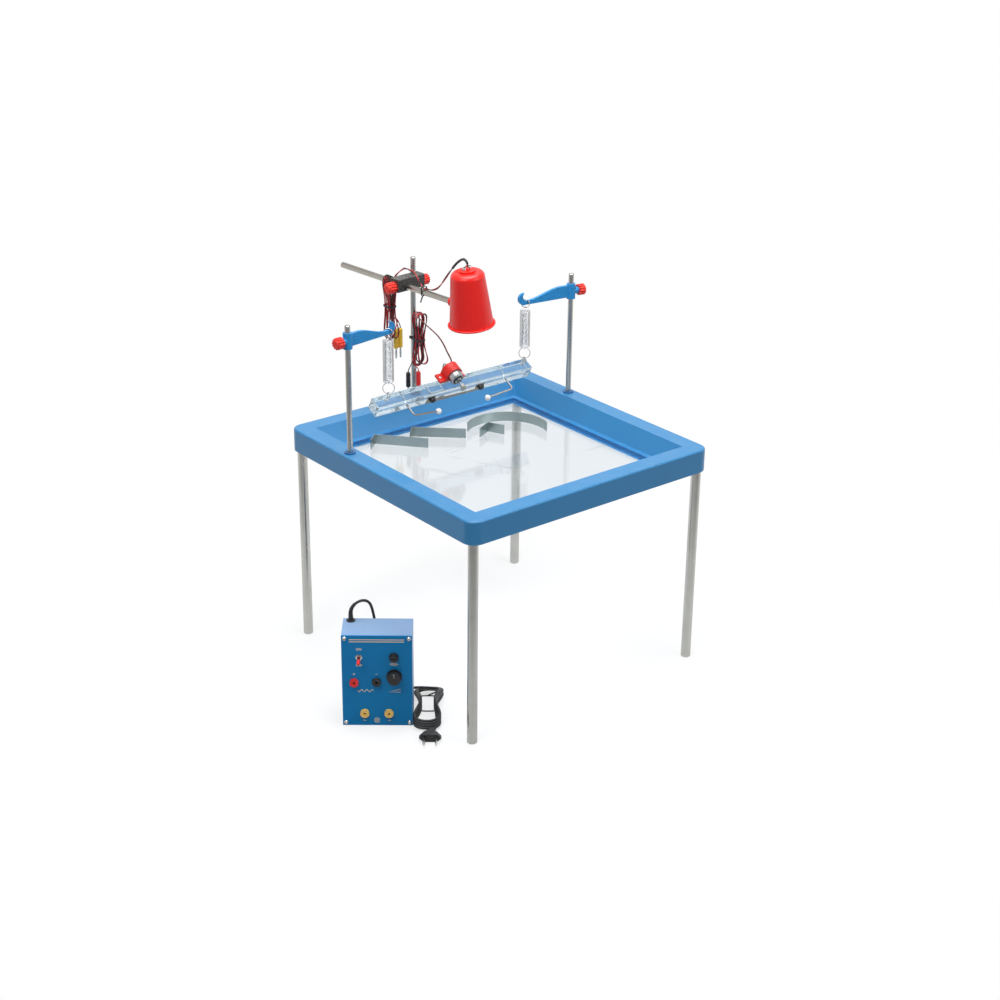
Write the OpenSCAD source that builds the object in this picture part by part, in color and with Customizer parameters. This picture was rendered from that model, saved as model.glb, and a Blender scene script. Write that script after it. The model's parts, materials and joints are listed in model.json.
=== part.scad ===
// Ripple tank: a glass-bottomed tray on four legs, a spring-hung vibrator bar,
// a lamp head on its own post, wave barriers and a low-voltage power supply.
// Origin: centre of the tray's footprint on the floor, +Z up, +Y to the lamp post.

/* [Tray] */
// Outer side of the square tray
tray_size = 480; // [450:5:540]
// Floor to the lower edge of the tray
tray_clearance = 337; // [280:1:400]
// Height of the tray's skirt
tray_h = 37.5; // [34:0.5:45]
// Width of the flat rim
rim_w = 31; // [28:0.5:36]
// How far the inner slope runs inwards
slope_run = 15.5; // [10:0.5:20]
// Width of the ledge round the glass
ledge_w = 9.5; // [6:0.5:14]
// Width of the lip under the glass
lip_w = 11; // [8:0.5:16]
// Thickness of the lip under the glass
lip_t = 2.4; // [2:0.1:4]
// Thickness of the moulded wall
wall = 3; // [2:0.25:4]
// Outer corner radius
corner_r = 20; // [16:1:24]
// Rounding of the rim's outer edge
rim_round = 3; // [1.5:0.5:4]

/* [Glass] */
// Thickness of the glass pane
glass_t = 4; // [3:0.5:6]
// Gap between the pane and its pocket
glass_gap = 0.3; // [0.1:0.1:0.6]
// Thickness of the sealing strip
seal_t = 0.6; // [0.4:0.1:1]
// Bare lip on each side of the sealing strip
seal_inset = 0.5; // [0.3:0.1:2]

/* [Legs and posts] */
// Diameter of a leg
leg_d = 16; // [14:0.5:18]
// Tray edge to leg axis
leg_inset = 14.5; // [14:0.5:16]
// How far a leg goes up into its socket
leg_socket = 28; // [20:0.5:30]
// Diameter of the three upright posts
post_d = 9; // [8:0.5:11]
// Tray edge to post axis
post_inset = 15; // [14:0.5:17]
// How far back the two hook posts stand
hook_post_y = 88; // [60:1:120]
// Rim to the top of a hook post
hook_post_rise = 209.5; // [190:0.5:240]
// Rim to the top of the lamp post
lamp_post_rise = 245.5; // [235:0.5:300]
// Depth of a post's socket below the rim
post_socket = 26.5; // [20:0.5:28]
// Wall of leg and post sockets
socket_wall = 3; // [2:0.25:4]
// Outer diameter of the collars at the posts
collar_d = 18; // [15:0.5:22]
// Height of the collars
collar_h = 2; // [1:0.5:4]
// Chamfer at rod ends
rod_chamfer = 1; // [0.5:0.1:2]

/* [Hook arms] */
// Height of the left hub's centre above the rim
left_hub_rise = 185; // [170:0.5:190]
// Height of the right hub's centre above the rim
right_hub_rise = 179.5; // [165:0.5:190]
// Post axis to the spot where the spring's ring hangs
arm_reach = 87.3; // [70:0.5:100]
// Turn of both arms towards the back
arm_swing = 9.8; // [0:0.1:20]
// Thickness of the arm plate
arm_t = 5.5; // [4:0.5:6.5]
// Depth of the arm plate at its neck
arm_neck = 6.5; // [5:0.5:7]
// Diameter of the hub
hub_d = 15; // [13:0.5:18]
// Height of the hub
hub_h = 25.6; // [22:0.2:30]
// Radius of the hook's outer edge
hook_r = 10.2; // [9:0.1:12]
// Radius of the hook's inner edge
hook_inner_r = 7.6; // [6.5:0.1:8]

/* [Knobs] */
// Diameter of an arm knob
arm_knob_d = 19; // [16:0.5:22]
// Length of an arm knob
arm_knob_l = 13; // [10:0.5:16]
// Diameter of the knobs' threaded shanks
shank_d = 5; // [4:0.5:6]
// Number of grip ribs on a red knob
knob_ribs = 12; // [8:1:16]
// Diameter of a knob on the lamp head
boss_knob_d = 19; // [16:0.5:22]
// Length of a knob on the lamp head
boss_knob_l = 16; // [12:0.5:18]

/* [Springs] */
// Outer diameter of a spring
spring_d = 18; // [14:0.5:20]
// Thickness of the spring wire
spring_wire = 1.2; // [0.8:0.1:1.4]
// Turns of the left spring
left_turns = 24; // [18:1:28]
// Turns of the right spring
right_turns = 20; // [16:1:24]
// Rise of the bent-up end loops
end_loop = 3.6; // [3:0.2:5]
// Outer diameter of the upper split rings
upper_ring_d = 14; // [13:0.5:17]
// Outer diameter of the lower split rings
lower_ring_d = 20; // [17:0.5:22]
// Thickness of the ring wire
ring_wire = 1.4; // [1:0.1:1.6]
// Slack where one wire hangs in another
link_gap = 0.25; // [0.1:0.05:0.5]

/* [Vibrator bar] */
// Length of the clear bar
bar_l = 314; // [290:1:330]
// Side of the clear bar's square section
bar_s = 22; // [18:0.5:26]
// Tilt of the bar, front edge down
bar_tilt = 29; // [15:1:40]
// Sideways place of the bar's middle
bar_x = -4; // [-8:0.5:0]
// Height of the eyes' centres above the floor
eye_z = 447.5; // [440:0.5:455]
// Eye centre above the bar's top face
eye_rise = 12.3; // [9:0.1:15]
// Outer diameter of a screw eye
eye_d = 9; // [7:0.5:10]
// Thickness of the screw eye's wire
eye_wire = 1.8; // [1.4:0.1:2]

/* [Motor] */
// Diameter of the motor can
can_d = 24; // [20:0.5:26]
// Length of the motor can
can_l = 30; // [25:0.5:34]
// Front of the can, ahead of the bar's axis
can_front = 6; // [2:0.5:9]
// Sideways place of the motor from the bar's middle
motor_x = -1; // [-10:0.5:10]
// Wall of the red saddle
saddle_wall = 2.6; // [2:0.2:4]
// Length of the red saddle
saddle_l = 17; // [14:0.5:20]
// Overall width of the saddle's feet
saddle_w = 50; // [46:0.5:56]
// Thickness of the saddle's feet
saddle_foot = 4; // [3:0.5:6]
// Diameter of the motor shaft
motor_shaft_d = 2.3; // [2:0.1:3]
// Radius of the eccentric weight
weight_r = 10.5; // [8:0.5:11]
// Length of the eccentric weight
weight_l = 7; // [5:0.5:9]

/* [Dippers] */
// Left dipper from the bar's middle
left_dipper = 99; // [90:1:110]
// Right dipper from the bar's middle
right_dipper = 103; // [90:1:110]
// Thickness of the dipper rod
dipper_d = 3; // [2:0.25:4]
// Bar axis to the dipper's bend
dipper_out = 35; // [28:0.5:42]
// Length of the dipper's sideways arm
dipper_arm = 51; // [40:0.5:60]
// Droop of the dipper's sideways arm
dipper_droop = 7; // [0:0.5:20]
// Bend radius of the dipper rod
dipper_bend = 5; // [4:0.5:8]
// Diameter of the dipper ball
ball_d = 9.5; // [8:0.5:12]
// Clamp knobs, to each side of the bar's middle
clamp_half = 49.5; // [40:0.5:60]
// Diameter of a clamp knob
clamp_knob_d = 10.5; // [9:0.5:12]
// Length of a clamp knob
clamp_knob_l = 7; // [5:0.5:9]

/* [Lamp head] */
// Floor to the axis of the lamp rod
lamp_rod_z = 576.5; // [560:0.5:590]
// Turn of the lamp rod about the post
lamp_turn = 5.2; // [0:0.1:15]
// Diameter of the lamp rod
lamp_rod_d = 10; // [8:0.5:12]
// Post axis to lamp rod axis
rod_side = 22.5; // [20:0.5:26]
// Post to the front end of the lamp rod
rod_front = 127; // [110:1:150]
// Post to the back end of the lamp rod
rod_back = 154; // [120:1:180]
// Height of the clamping block
boss_h = 22; // [20:0.5:26]
// Width of the clamping block
boss_w = 57; // [54:0.5:64]
// Depth of the clamping block
boss_depth = 21; // [18:0.5:26]
// Shade's height
shade_h = 90; // [80:0.5:100]
// Shade radius at the shoulder
shade_top_r = 27.4; // [24:0.2:32]
// Shade radius at the mouth
shade_mouth_r = 35.4; // [32:0.2:42]
// Radius of the rolled lip
lip_r = 1.6; // [1:0.1:2.5]
// Thickness of the shade's sheet metal
shade_t = 0.9; // [0.6:0.1:1.5]
// Rounding of the shade's shoulder
shoulder_r = 9; // [5:0.5:12]
// Lean of the shade about the lamp rod
shade_lean = 6.5; // [0:0.5:15]
// Lamp rod above the shade's mouth
rod_over_mouth = 29; // [24:0.5:36]
// Diameter of the lamp bulb
bulb_d = 15; // [12:0.5:18]

/* [Wave barriers] */
// Height of the barriers
barrier_h = 16.5; // [12:0.5:20]
// Thickness of the barriers
barrier_t = 1.5; // [1:0.1:2]
// Long leg of the two long barriers
long_leg = 89; // [70:1:100]
// Short leg of the two long barriers
short_leg = 26; // [20:1:32]
// Legs of the small corner barrier
corner_leg = 30; // [24:1:36]
// Radius of the curved barrier
curve_r = 68.5; // [58:0.5:76]

/* [Power supply] */
// Width of the case
case_w = 108; // [104:1:130]
// Height of the case
case_h = 156; // [150:1:180]
// Depth of the case
case_d = 58; // [55:1:80]
// Case wall
case_wall = 2.5; // [2:0.25:3.5]
// Thickness of the front panel
panel_t = 2.5; // [2:0.25:3.5]
// Turn of the supply on the floor
supply_turn = -38.4; // [-60:0.1:0]
// Outer diameter of a socket's collar
socket_d = 14; // [12:0.5:16]
// Bore of a socket
socket_bore = 4.1; // [4:0.02:4.2]
// Depth of a socket's bore
socket_depth = 20; // [16:0.5:24]
// How far a socket stands out of the panel
socket_out = 4; // [3:0.5:6]
// Diameter of the voltage knob
dial_d = 24; // [20:0.5:28]
// Length of the voltage knob
dial_l = 13; // [10:0.5:16]
// Diameter of the panel screws' heads
screw_d = 7; // [6:0.5:8]

/* [Leads] */
// Diameter of the mains lead
mains_d = 4.5; // [4:0.1:5]
// Diameter of the lamp and motor leads
lead_d = 3.2; // [2.6:0.1:3.4]
// Loops of the mains hank
mains_loops = 5; // [3:1:6]
// Loops of the lamp and motor hanks
lead_loops = 4; // [3:1:5]

/* [Hidden] */
$fn = 48;

// Running fit between a rod and its bore, on the radius
fit = 0.1;
// Free gap between pieces that only lie near each other
gap = 0.3;
// Overrun of a cutting solid
over = 1;

// Heights and half-widths of the tray
half = tray_size / 2;
rim_z = tray_clearance + tray_h;
seal_z = tray_clearance + lip_t;
glass_z = seal_z + seal_t;
ledge_z = glass_z + glass_t;
rim_inner = half - rim_w;
slope_foot = rim_inner - slope_run;
pocket_half = slope_foot - ledge_w;
window_half = pocket_half - lip_w;
slope_rate = slope_run / (rim_z - ledge_z);
slope_wall = wall * sqrt(1 + slope_rate * slope_rate);
skin_z = rim_z - wall;

// Legs and posts
leg_xy = half - leg_inset;
leg_top = tray_clearance + leg_socket;
post_x = half - post_inset;
post_foot = rim_z - post_socket;
hook_post_top = rim_z + hook_post_rise;
lamp_post_top = rim_z + lamp_post_rise;

// Hook arms and the line on which the springs hang
left_hub_z = rim_z + left_hub_rise;
right_hub_z = rim_z + right_hub_rise;
arm_root = 20;
arm_root_top = 10.3;
arm_root_low = -9.8;
neck_top = -4.4;
neck_low = neck_top - arm_neck;
neck_end = arm_reach - 1.8;
hang_x = post_x - arm_reach * cos(arm_swing);
hang_y = hook_post_y + arm_reach * sin(arm_swing);
arm_boss_end = hub_d / 2 + 5.5;

// Chain of rings and loops under each hook
ring_r = ring_wire / 2;
upper_mean = upper_ring_d / 2 - ring_r;
lower_mean = lower_ring_d / 2 - ring_r;
ring_inner = upper_mean - ring_r;
ring_drop = sqrt(ring_inner * ring_inner - arm_t * arm_t / 4) - link_gap;
hook_low = hook_inner_r - sqrt(hook_inner_r * hook_inner_r - pow(arm_reach + ring_r - neck_end, 2));
coil_r = spring_d / 2 - spring_wire / 2;
link = ring_r + spring_wire / 2 + link_gap;
eye_r = eye_wire / 2;
eye_mean = eye_d / 2 - eye_r;
lower_turn = 35;
lower_ring_z = eye_z + eye_mean - (eye_r + ring_r + link_gap) + lower_mean;
function upper_ring_z(hub_z) = hub_z + neck_top + hook_low - ring_drop;
function coil_bottom() = lower_ring_z + lower_mean - link + end_loop;
function coil_top(hub_z) = upper_ring_z(hub_z) - upper_mean + link - end_loop;

// The bar hangs by its eyes, tilted about X
bar_h = bar_s / 2;
bar_y = hang_y + (bar_h + eye_rise) * sin(bar_tilt);
bar_z = eye_z - (bar_h + eye_rise) * cos(bar_tilt);
can_axis = bar_h + gap + can_d / 2;

// Lamp head, in a frame whose Y runs along the lamp rod, away from the shade
rod_r = lamp_rod_d / 2;
boss_in = 16;
shade_y = -(rod_front + shade_mouth_r - 1);

// Power supply, in its own frame with Y to the back
supply_x = -292;
supply_y = -74;
front_y = -case_d / 2;
panel_back = front_y + panel_t;
screw_inset = 5;
toggle_at = [26.7, 36.4];
fuse_at = [80, 36.2];
dial_at = [80.3, 69];
red_at = [18.6, 80.2];
black_at = [53, 79];
yellow_up = 22;
yellow_at = [[34.2, case_h - yellow_up], [71.5, case_h - yellow_up]];

// ---------------------------------------------------------------- helpers

function unit(v) = v / norm(v);
function turned(p, a) = [p[0] * cos(a) - p[1] * sin(a), p[0] * sin(a) + p[1] * cos(a), p[2]];

// Direction of a path at point i
function heading(p, i) = unit(p[min(i + 1, len(p) - 1)] - p[max(i - 1, 0)]);
function sideways(t) = unit(abs(t[2]) < 0.9 ? cross(t, [0, 0, 1]) : cross(t, [1, 0, 0]));

// Side vectors along a path, carried from ring to ring without twist
function sides_along(p) = [
  for (i = 0, t = heading(p, 0), v = sideways(t);
       i < len(p);
       i = i + 1, t = i < len(p) ? heading(p, i) : t, v = unit(v - (v * t) * t)) v
];

// Round tube of radius r swept along the points of a path
module tube(p, r, n) {
  v = sides_along(p);
  rings = [
    for (i = [0 : len(p) - 1])
      let (t = heading(p, i), w = cross(t, v[i]))
        for (k = [0 : n - 1]) p[i] + r * (cos(360 * k / n) * v[i] + sin(360 * k / n) * w)
  ];
  last = (len(p) - 1) * n;
  walls = [
    for (i = [0 : len(p) - 2])
      for (k = [0 : n - 1])
        let (a = i * n + k, b = i * n + (k + 1) % n)
          each [[a, a + n, b], [b, a + n, b + n]]
  ];
  caps = [for (k = [1 : n - 2]) each [[0, k, k + 1], [last, last + k + 1, last + k]]];
  polyhedron(points = rings, faces = concat(walls, caps));
}

// Smooth curve through hand-chosen points, steps per span
function knot(p, i) = p[max(0, min(len(p) - 1, i))];
function blend_point(a, b, c, d, t) =
  0.5 * (2 * b + (c - a) * t + (2 * a - 5 * b + 4 * c - d) * t * t + (3 * b - a - 3 * c + d) * t * t * t);
function smooth(p, steps) = concat(
  [for (i = [0 : len(p) - 2]) for (s = [0 : steps - 1])
    blend_point(knot(p, i - 1), p[i], p[i + 1], knot(p, i + 2), s / steps)],
  [p[len(p) - 1]]
);

// Least distance between points of a path that lie more than skip apart
function self_distance(p, skip) = min([
  for (i = [0 : len(p) - skip - 2]) for (j = [i + skip + 1 : len(p) - 1]) norm(p[i] - p[j])
]);

// A point of a hank: long loops in the X-Z plane, drawn in at the waist, stacked along Y
hank_waist = 0.25;
hank_rings = 24;
function hank_point(a, length, b, step) = [
  b * cos(a) * (hank_waist + (1 - hank_waist) * pow(sin(a), 2)),
  step * a / 360,
  length / 2 * sin(a)
];

// Square with round corners, given by its half side
module rounded_square(h, r) {
  square([2 * h, 2 * (h - r)], center = true);
  square([2 * (h - r), 2 * h], center = true);
  for (x = [-1, 1], y = [-1, 1]) translate([x * (h - r), y * (h - r)]) circle(r);
}

// Rod along +Z with chamfered ends
module rod(d, h, chamfer) {
  cylinder(d1 = d - 2 * chamfer, d2 = d, h = chamfer);
  translate([0, 0, chamfer]) cylinder(d = d, h = h - 2 * chamfer);
  translate([0, 0, h - chamfer]) cylinder(d1 = d, d2 = d - 2 * chamfer, h = chamfer);
}

// Wire ring in the X-Z plane
module ring(mean_r, wire_r) {
  rotate([90, 0, 0]) rotate_extrude() translate([mean_r, 0]) circle(wire_r, $fn = 16);
}

// Ribbed clamping knob along +Z with a threaded shank below
module knob(d, l, ribs, rib_r, shank, shank_l) {
  body_r = d / 2 - rib_r;
  linear_extrude(l - 2) {
    circle(body_r);
    for (k = [0 : ribs - 1]) rotate(360 * k / ribs) translate([body_r, 0]) circle(rib_r, $fn = 16);
  }
  translate([0, 0, l - 2]) cylinder(r1 = body_r, r2 = body_r - 2, h = 2);
  translate([0, 0, -shank_l]) cylinder(d = shank, h = shank_l + 1);
}

// ---------------------------------------------------------------- tray

module tray_outside() {
  hull() {
    translate([0, 0, tray_clearance]) linear_extrude(tray_h - rim_round)
      rounded_square(half, corner_r, $fn = 32);
    for (a = [30, 60, 90])
      translate([0, 0, rim_z - rim_round * (1 - sin(a)) - 0.02]) linear_extrude(0.02)
        rounded_square(half - rim_round * (1 - cos(a)), corner_r - rim_round * (1 - cos(a)), $fn = 32);
  }
}

// Solid core that stays under the slope, between the skirt and the window
module tray_core() {
  foot = slope_foot + slope_wall;
  low = tray_clearance - over;
  translate([-foot, -foot, low]) cube([2 * foot, 2 * foot, ledge_z - low]);
  hull() {
    translate([0, 0, ledge_z - 0.02]) linear_extrude(0.02) square(2 * foot, center = true);
    translate([0, 0, rim_z - 0.02]) linear_extrude(0.02)
      square(2 * (rim_inner + slope_wall), center = true);
  }
}

module tray_cavity() {
  difference() {
    translate([0, 0, tray_clearance - over]) linear_extrude(tray_h - wall + over)
      rounded_square(half - wall, corner_r - wall);
    tray_core();
  }
}

module basin() {
  hull() {
    translate([0, 0, ledge_z]) linear_extrude(0.01) square(2 * slope_foot, center = true);
    translate([0, 0, rim_z + over]) linear_extrude(0.01)
      square(2 * (rim_inner + slope_rate * over), center = true);
  }
  translate([-pocket_half, -pocket_half, seal_z])
    cube([2 * pocket_half, 2 * pocket_half, ledge_z - seal_z + over]);
  translate([-window_half, -window_half, tray_clearance - over])
    cube([2 * window_half, 2 * window_half, tray_h]);
}

module at_legs() {
  for (x = [-1, 1], y = [-1, 1]) translate([x * leg_xy, y * leg_xy, 0]) children();
}

module at_posts() {
  for (p = [[-post_x, hook_post_y], [post_x, hook_post_y], [0, post_x]])
    translate([p[0], p[1], 0]) children();
}

module tray() {
  color([0.30, 0.55, 0.80]) difference() {
    union() {
      difference() {
        tray_outside();
        tray_cavity();
      }
      at_legs() translate([0, 0, tray_clearance])
        cylinder(d = leg_d + 2 * (fit + socket_wall), h = skin_z - tray_clearance + wall / 2);
      at_posts() translate([0, 0, post_foot - wall])
        cylinder(d = post_d + 2 * (fit + socket_wall), h = skin_z - post_foot + 1.5 * wall);
    }
    basin();
    at_legs() translate([0, 0, tray_clearance - over]) cylinder(d = leg_d + 2 * fit, h = leg_socket + over);
    at_posts() translate([0, 0, post_foot]) cylinder(d = post_d + 2 * fit, h = post_socket + over);
  }
}

module glass_seal() {
  color([0.2, 0.2, 0.22]) translate([0, 0, seal_z]) linear_extrude(seal_t) difference() {
    square(2 * (pocket_half - seal_inset), center = true);
    square(2 * (window_half + seal_inset), center = true);
  }
}

module glass_pane() {
  side = 2 * (pocket_half - glass_gap);
  color([0.85, 0.92, 0.95, 0.4]) translate([-side / 2, -side / 2, glass_z]) cube([side, side, glass_t]);
}

module legs() {
  color("silver") at_legs() rod(leg_d, leg_top, rod_chamfer);
}

module hook_post(side) {
  color("silver") translate([side * post_x, hook_post_y, post_foot])
    rod(post_d, hook_post_top - post_foot, rod_chamfer);
}

module post_collars() {
  color([0.1, 0.3, 0.5]) at_posts() translate([0, 0, rim_z]) difference() {
    cylinder(d = collar_d, h = collar_h);
    translate([0, 0, -over]) cylinder(d = post_d + 2 * fit, h = collar_h + 2 * over);
  }
}

// ---------------------------------------------------------------- barriers

// Upright strip from the origin along +X, standing on z = 0
module strip(l) {
  translate([0, -barrier_t / 2, 0]) cube([l, barrier_t, barrier_h]);
}

module angle_barrier(at, turn, leg_a, leg_b) {
  color([0.50, 0.58, 0.58]) translate([at[0], at[1], ledge_z]) rotate(turn) {
    strip(leg_a);
    rotate(-90) strip(leg_b);
    cylinder(d = barrier_t, h = barrier_h, $fn = 16);
  }
}

long_left_at = [-129.1, 157.8];
long_right_at = [-62, 147];
corner_at = [51.2, 88.7];
curve_at = [64, 52.7];
curve_from = -20;
curve_sweep = 146;

module curved_barrier() {
  color([0.50, 0.58, 0.58]) translate([curve_at[0], curve_at[1], ledge_z]) rotate(curve_from)
    rotate_extrude(angle = curve_sweep, $fn = 96)
      translate([curve_r - barrier_t / 2, 0]) square([barrier_t, barrier_h]);
}

// ---------------------------------------------------------------- hook arms

// Upper edge of the arm plate, falling in a soft S from the hub to the neck
function arm_edge(u) =
  let (t = max(0, min(1, (u - arm_root) / (arm_reach - 3 - arm_root))), s = t * t * (3 - 2 * t))
    arm_root_top + (neck_top - arm_root_top) * s;

// Side view of one arm: X out from the post, Y up
module arm_outline() {
  end = neck_end;
  polygon(concat(
    [[0, arm_root_low]],
    [[0, arm_root_top]],
    [for (k = [0 : 10]) let (u = arm_root + (end - arm_root) * k / 10) [u, arm_edge(u)]],
    [[end, neck_low]]
  ));
  difference() {
    translate([arm_reach + 3.2, neck_top - arm_neck + hook_r - 0.4]) circle(hook_r, $fn = 64);
    translate([end, neck_top + hook_inner_r]) circle(hook_inner_r, $fn = 64);
    translate([end - 40, neck_low - 20]) square([40, 60]);
    translate([end, neck_top + 13.5]) square(20);
  }
}

module arm() {
  color([0.25, 0.5, 0.75]) difference() {
    union() {
      translate([0, 0, -hub_h / 2]) cylinder(d = hub_d, h = hub_h);
      translate([0, arm_t / 2, 0]) rotate([90, 0, 0]) linear_extrude(arm_t) arm_outline();
      rotate([0, -90, 0]) cylinder(d = shank_d + 6, h = arm_boss_end);
    }
    translate([0, 0, -hub_h / 2 - over]) cylinder(d = post_d + 2 * fit, h = hub_h + 2 * over);
    rotate([0, -90, 0]) cylinder(d = shank_d + 2 * fit, h = arm_boss_end + over);
  }
}

module arm_knob() {
  tip = post_d / 2 + gap;
  color([0.85, 0.25, 0.22]) rotate([0, -90, 0]) translate([0, 0, arm_boss_end + gap])
    knob(arm_knob_d, arm_knob_l, knob_ribs, 1.6, shank_d, arm_boss_end + gap - tip);
}

module at_left_arm() {
  translate([-post_x, hook_post_y, left_hub_z]) rotate(arm_swing) children();
}

module at_right_arm() {
  translate([post_x, hook_post_y, right_hub_z]) rotate(180 - arm_swing) children();
}

// ---------------------------------------------------------------- springs

coil_rings = 8;
swirl = 30;

// Bent end loop: starts as the coil ends and swings up and over the middle
function end_arch(r, rise, a) = [
  for (s = [0 : 15 : 150])
    let (back = swirl * pow(1 - min(1, s / 45), 2))
      turned([r * cos(s), 0, rise * sin(s)], a - back)
];

// Whole wire of a spring from z = 0, from its lower end loop to its upper one
function spring_path(h, turns, low_a, top_a) =
  let (
    from = low_a + swirl,
    sweep = 360 * turns + (top_a - swirl) - from,
    n = round(sweep / 360 * coil_rings),
    low = end_arch(coil_r, end_loop, 0),
    top = end_arch(coil_r, end_loop, top_a)
  )
  concat(
    [for (i = [len(low) - 1 : -1 : 1]) let (q = low[i]) turned([q[0], -q[1], -q[2]], low_a)],
    [for (i = [0 : n]) let (a = from + sweep * i / n)
      [coil_r * cos(a), coil_r * sin(a), h * i / n]],
    [for (i = [1 : len(top) - 1]) top[i] + [0, 0, h]]
  );

module spring(side, hub_z, turns, top_a) {
  low = coil_bottom();
  path = spring_path(coil_top(hub_z) - low, turns, lower_turn + 90, top_a);
  echo("least gap of the spring to itself", self_distance(path, 3) - spring_wire);
  color([0.72, 0.73, 0.74]) translate([side * hang_x, hang_y, low]) tube(path, spring_wire / 2, 6);
}

module upper_rings() {
  color([0.75, 0.75, 0.76]) for (s = [-1, 1])
    translate([s * hang_x, hang_y, upper_ring_z(s < 0 ? left_hub_z : right_hub_z)])
      rotate(90 - s * arm_swing) ring(upper_mean, ring_r);
}

// ---------------------------------------------------------------- vibrator bar

// Frame of the bar: X along it, Y to its back face, Z out of its top face
module in_bar() {
  translate([bar_x, bar_y, bar_z]) rotate([bar_tilt, 0, 0]) children();
}

dipper_hole = dipper_d + 2 * fit;
clamp_shank = 3;

module beam() {
  color([0.85, 0.92, 0.97, 0.5]) in_bar() difference() {
    union() {
      translate([-bar_l / 2, -bar_h, -bar_h]) cube([bar_l, bar_s, bar_s]);
      // clear pad bonded on top, beside the motor
      translate([-56, -bar_h, bar_h]) cube([27, bar_s - 4, 3]);
    }
    for (x = [-left_dipper, right_dipper])
      translate([x, bar_h + over, 0]) rotate([90, 0, 0]) cylinder(d = dipper_hole, h = bar_s + 2 * over);
    for (x = [-clamp_half, clamp_half])
      translate([x, -bar_h + 9, 0]) rotate([90, 0, 0]) cylinder(d = clamp_shank + 2 * fit, h = 9 + over);
    for (s = [-1, 1])
      translate([s * hang_x - bar_x, 0, bar_h - 9]) cylinder(d = eye_wire + 2 * fit, h = 9 + over);
  }
}

module clamp_strip() {
  color([0.45, 0.44, 0.42]) in_bar() translate([0, -bar_h, 0]) difference() {
    translate([-clamp_half - 9, -1.2, -bar_h + 1]) cube([2 * clamp_half + 18, 1.2, 14]);
    for (x = [-clamp_half, clamp_half])
      translate([x, over, 0]) rotate([90, 0, 0]) cylinder(d = clamp_shank + 2 * fit, h = 4);
    translate([-clamp_half + 8, -2, -bar_h + 5]) cube([2 * clamp_half - 16, 4, 20]);
  }
}

module clamp_knob(side) {
  color([0.08, 0.08, 0.09]) in_bar() translate([side * clamp_half, -bar_h - 1.2 - gap, 0])
    rotate([90, 0, 0]) knob(clamp_knob_d, clamp_knob_l, 8, 1, clamp_shank, 9);
}

module beam_eyes() {
  color([0.70, 0.70, 0.72]) for (s = [-1, 1]) {
    in_bar() translate([s * hang_x - bar_x, 0, bar_h]) {
      translate([0, 0, eye_rise]) rotate(90) ring(eye_mean, eye_r);
      translate([0, 0, -8.5]) cylinder(d = eye_wire, h = 8.5 + eye_rise - eye_mean);
      cylinder(d = 5.4, h = 1.6, $fn = 6);
    }
    translate([s * hang_x, hang_y, lower_ring_z]) rotate(lower_turn) ring(lower_mean, ring_r);
  }
}

// Frame of the motor: X along the bar, Z out of its top face, Y = 0 at the can's front
module in_motor() {
  in_bar() translate([motor_x, -can_front, can_axis]) children();
}

saddle_back = 10.5;
saddle_r = can_d / 2 + fit + saddle_wall;

module motor_saddle() {
  color([0.85, 0.2, 0.18]) in_motor() translate([0, saddle_back + saddle_l / 2, 0]) difference() {
    union() {
      rotate([90, 0, 0]) cylinder(r = saddle_r, h = saddle_l, center = true);
      translate([-saddle_r, -saddle_l / 2, bar_h - can_axis])
        cube([2 * saddle_r, saddle_l, can_axis - bar_h]);
      translate([-saddle_w / 2, -saddle_l / 2, bar_h - can_axis]) cube([saddle_w, saddle_l, saddle_foot]);
    }
    rotate([90, 0, 0]) cylinder(d = can_d + 2 * fit, h = saddle_l + 2 * over, center = true);
    translate([-saddle_w, -saddle_l, bar_h - can_axis - 2 * saddle_r])
      cube([2 * saddle_w, 2 * saddle_l, 2 * saddle_r]);
  }
}

shaft_out = 19;

module motor_can() {
  color([0.65, 0.66, 0.67]) in_motor() rotate([-90, 0, 0]) difference() {
    union() {
      translate([0, 0, 0]) cylinder(d1 = can_d - 3, d2 = can_d, h = 1.5);
      translate([0, 0, 1.5]) cylinder(d = can_d, h = can_l - 1.5);
      translate([0, 0, -1.8]) cylinder(d = 12, h = 2.8);
      translate([0, 0, -4]) cylinder(d = 7, h = 4);
      // solder tags at the back
      for (s = [-1, 1]) translate([s * 6 - 1.5, -6, can_l - 1]) cube([3, 0.8, 5]);
    }
    translate([0, 0, -5]) cylinder(d = motor_shaft_d + 2 * fit, h = can_l - 6);
  }
}

module motor_eccentric() {
  weight_at = shaft_out - weight_l;
  color([0.55, 0.53, 0.50]) in_motor() rotate([90, 0, 0]) {
    translate([0, 0, -can_l + 14]) cylinder(d = motor_shaft_d, h = can_l - 14 + shaft_out);
    translate([0, 0, weight_at]) {
      cylinder(d = 7.5, h = weight_l - 1);
      linear_extrude(weight_l - 2) intersection() {
        circle(weight_r);
        polygon([
          [0, 1.5], [weight_r * 1.6, -weight_r * 0.9], [weight_r * 0.2, -weight_r * 1.6], [-1.5, 0]
        ]);
      }
    }
  }
}

// Bent dipper rod: shank through the bar, a bend, then an arm towards the middle
module in_dipper(side, at) {
  in_bar() translate([side * at, 0, 0]) rotate([0, side < 0 ? dipper_droop : 180 - dipper_droop, 0])
    children();
}

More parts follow.
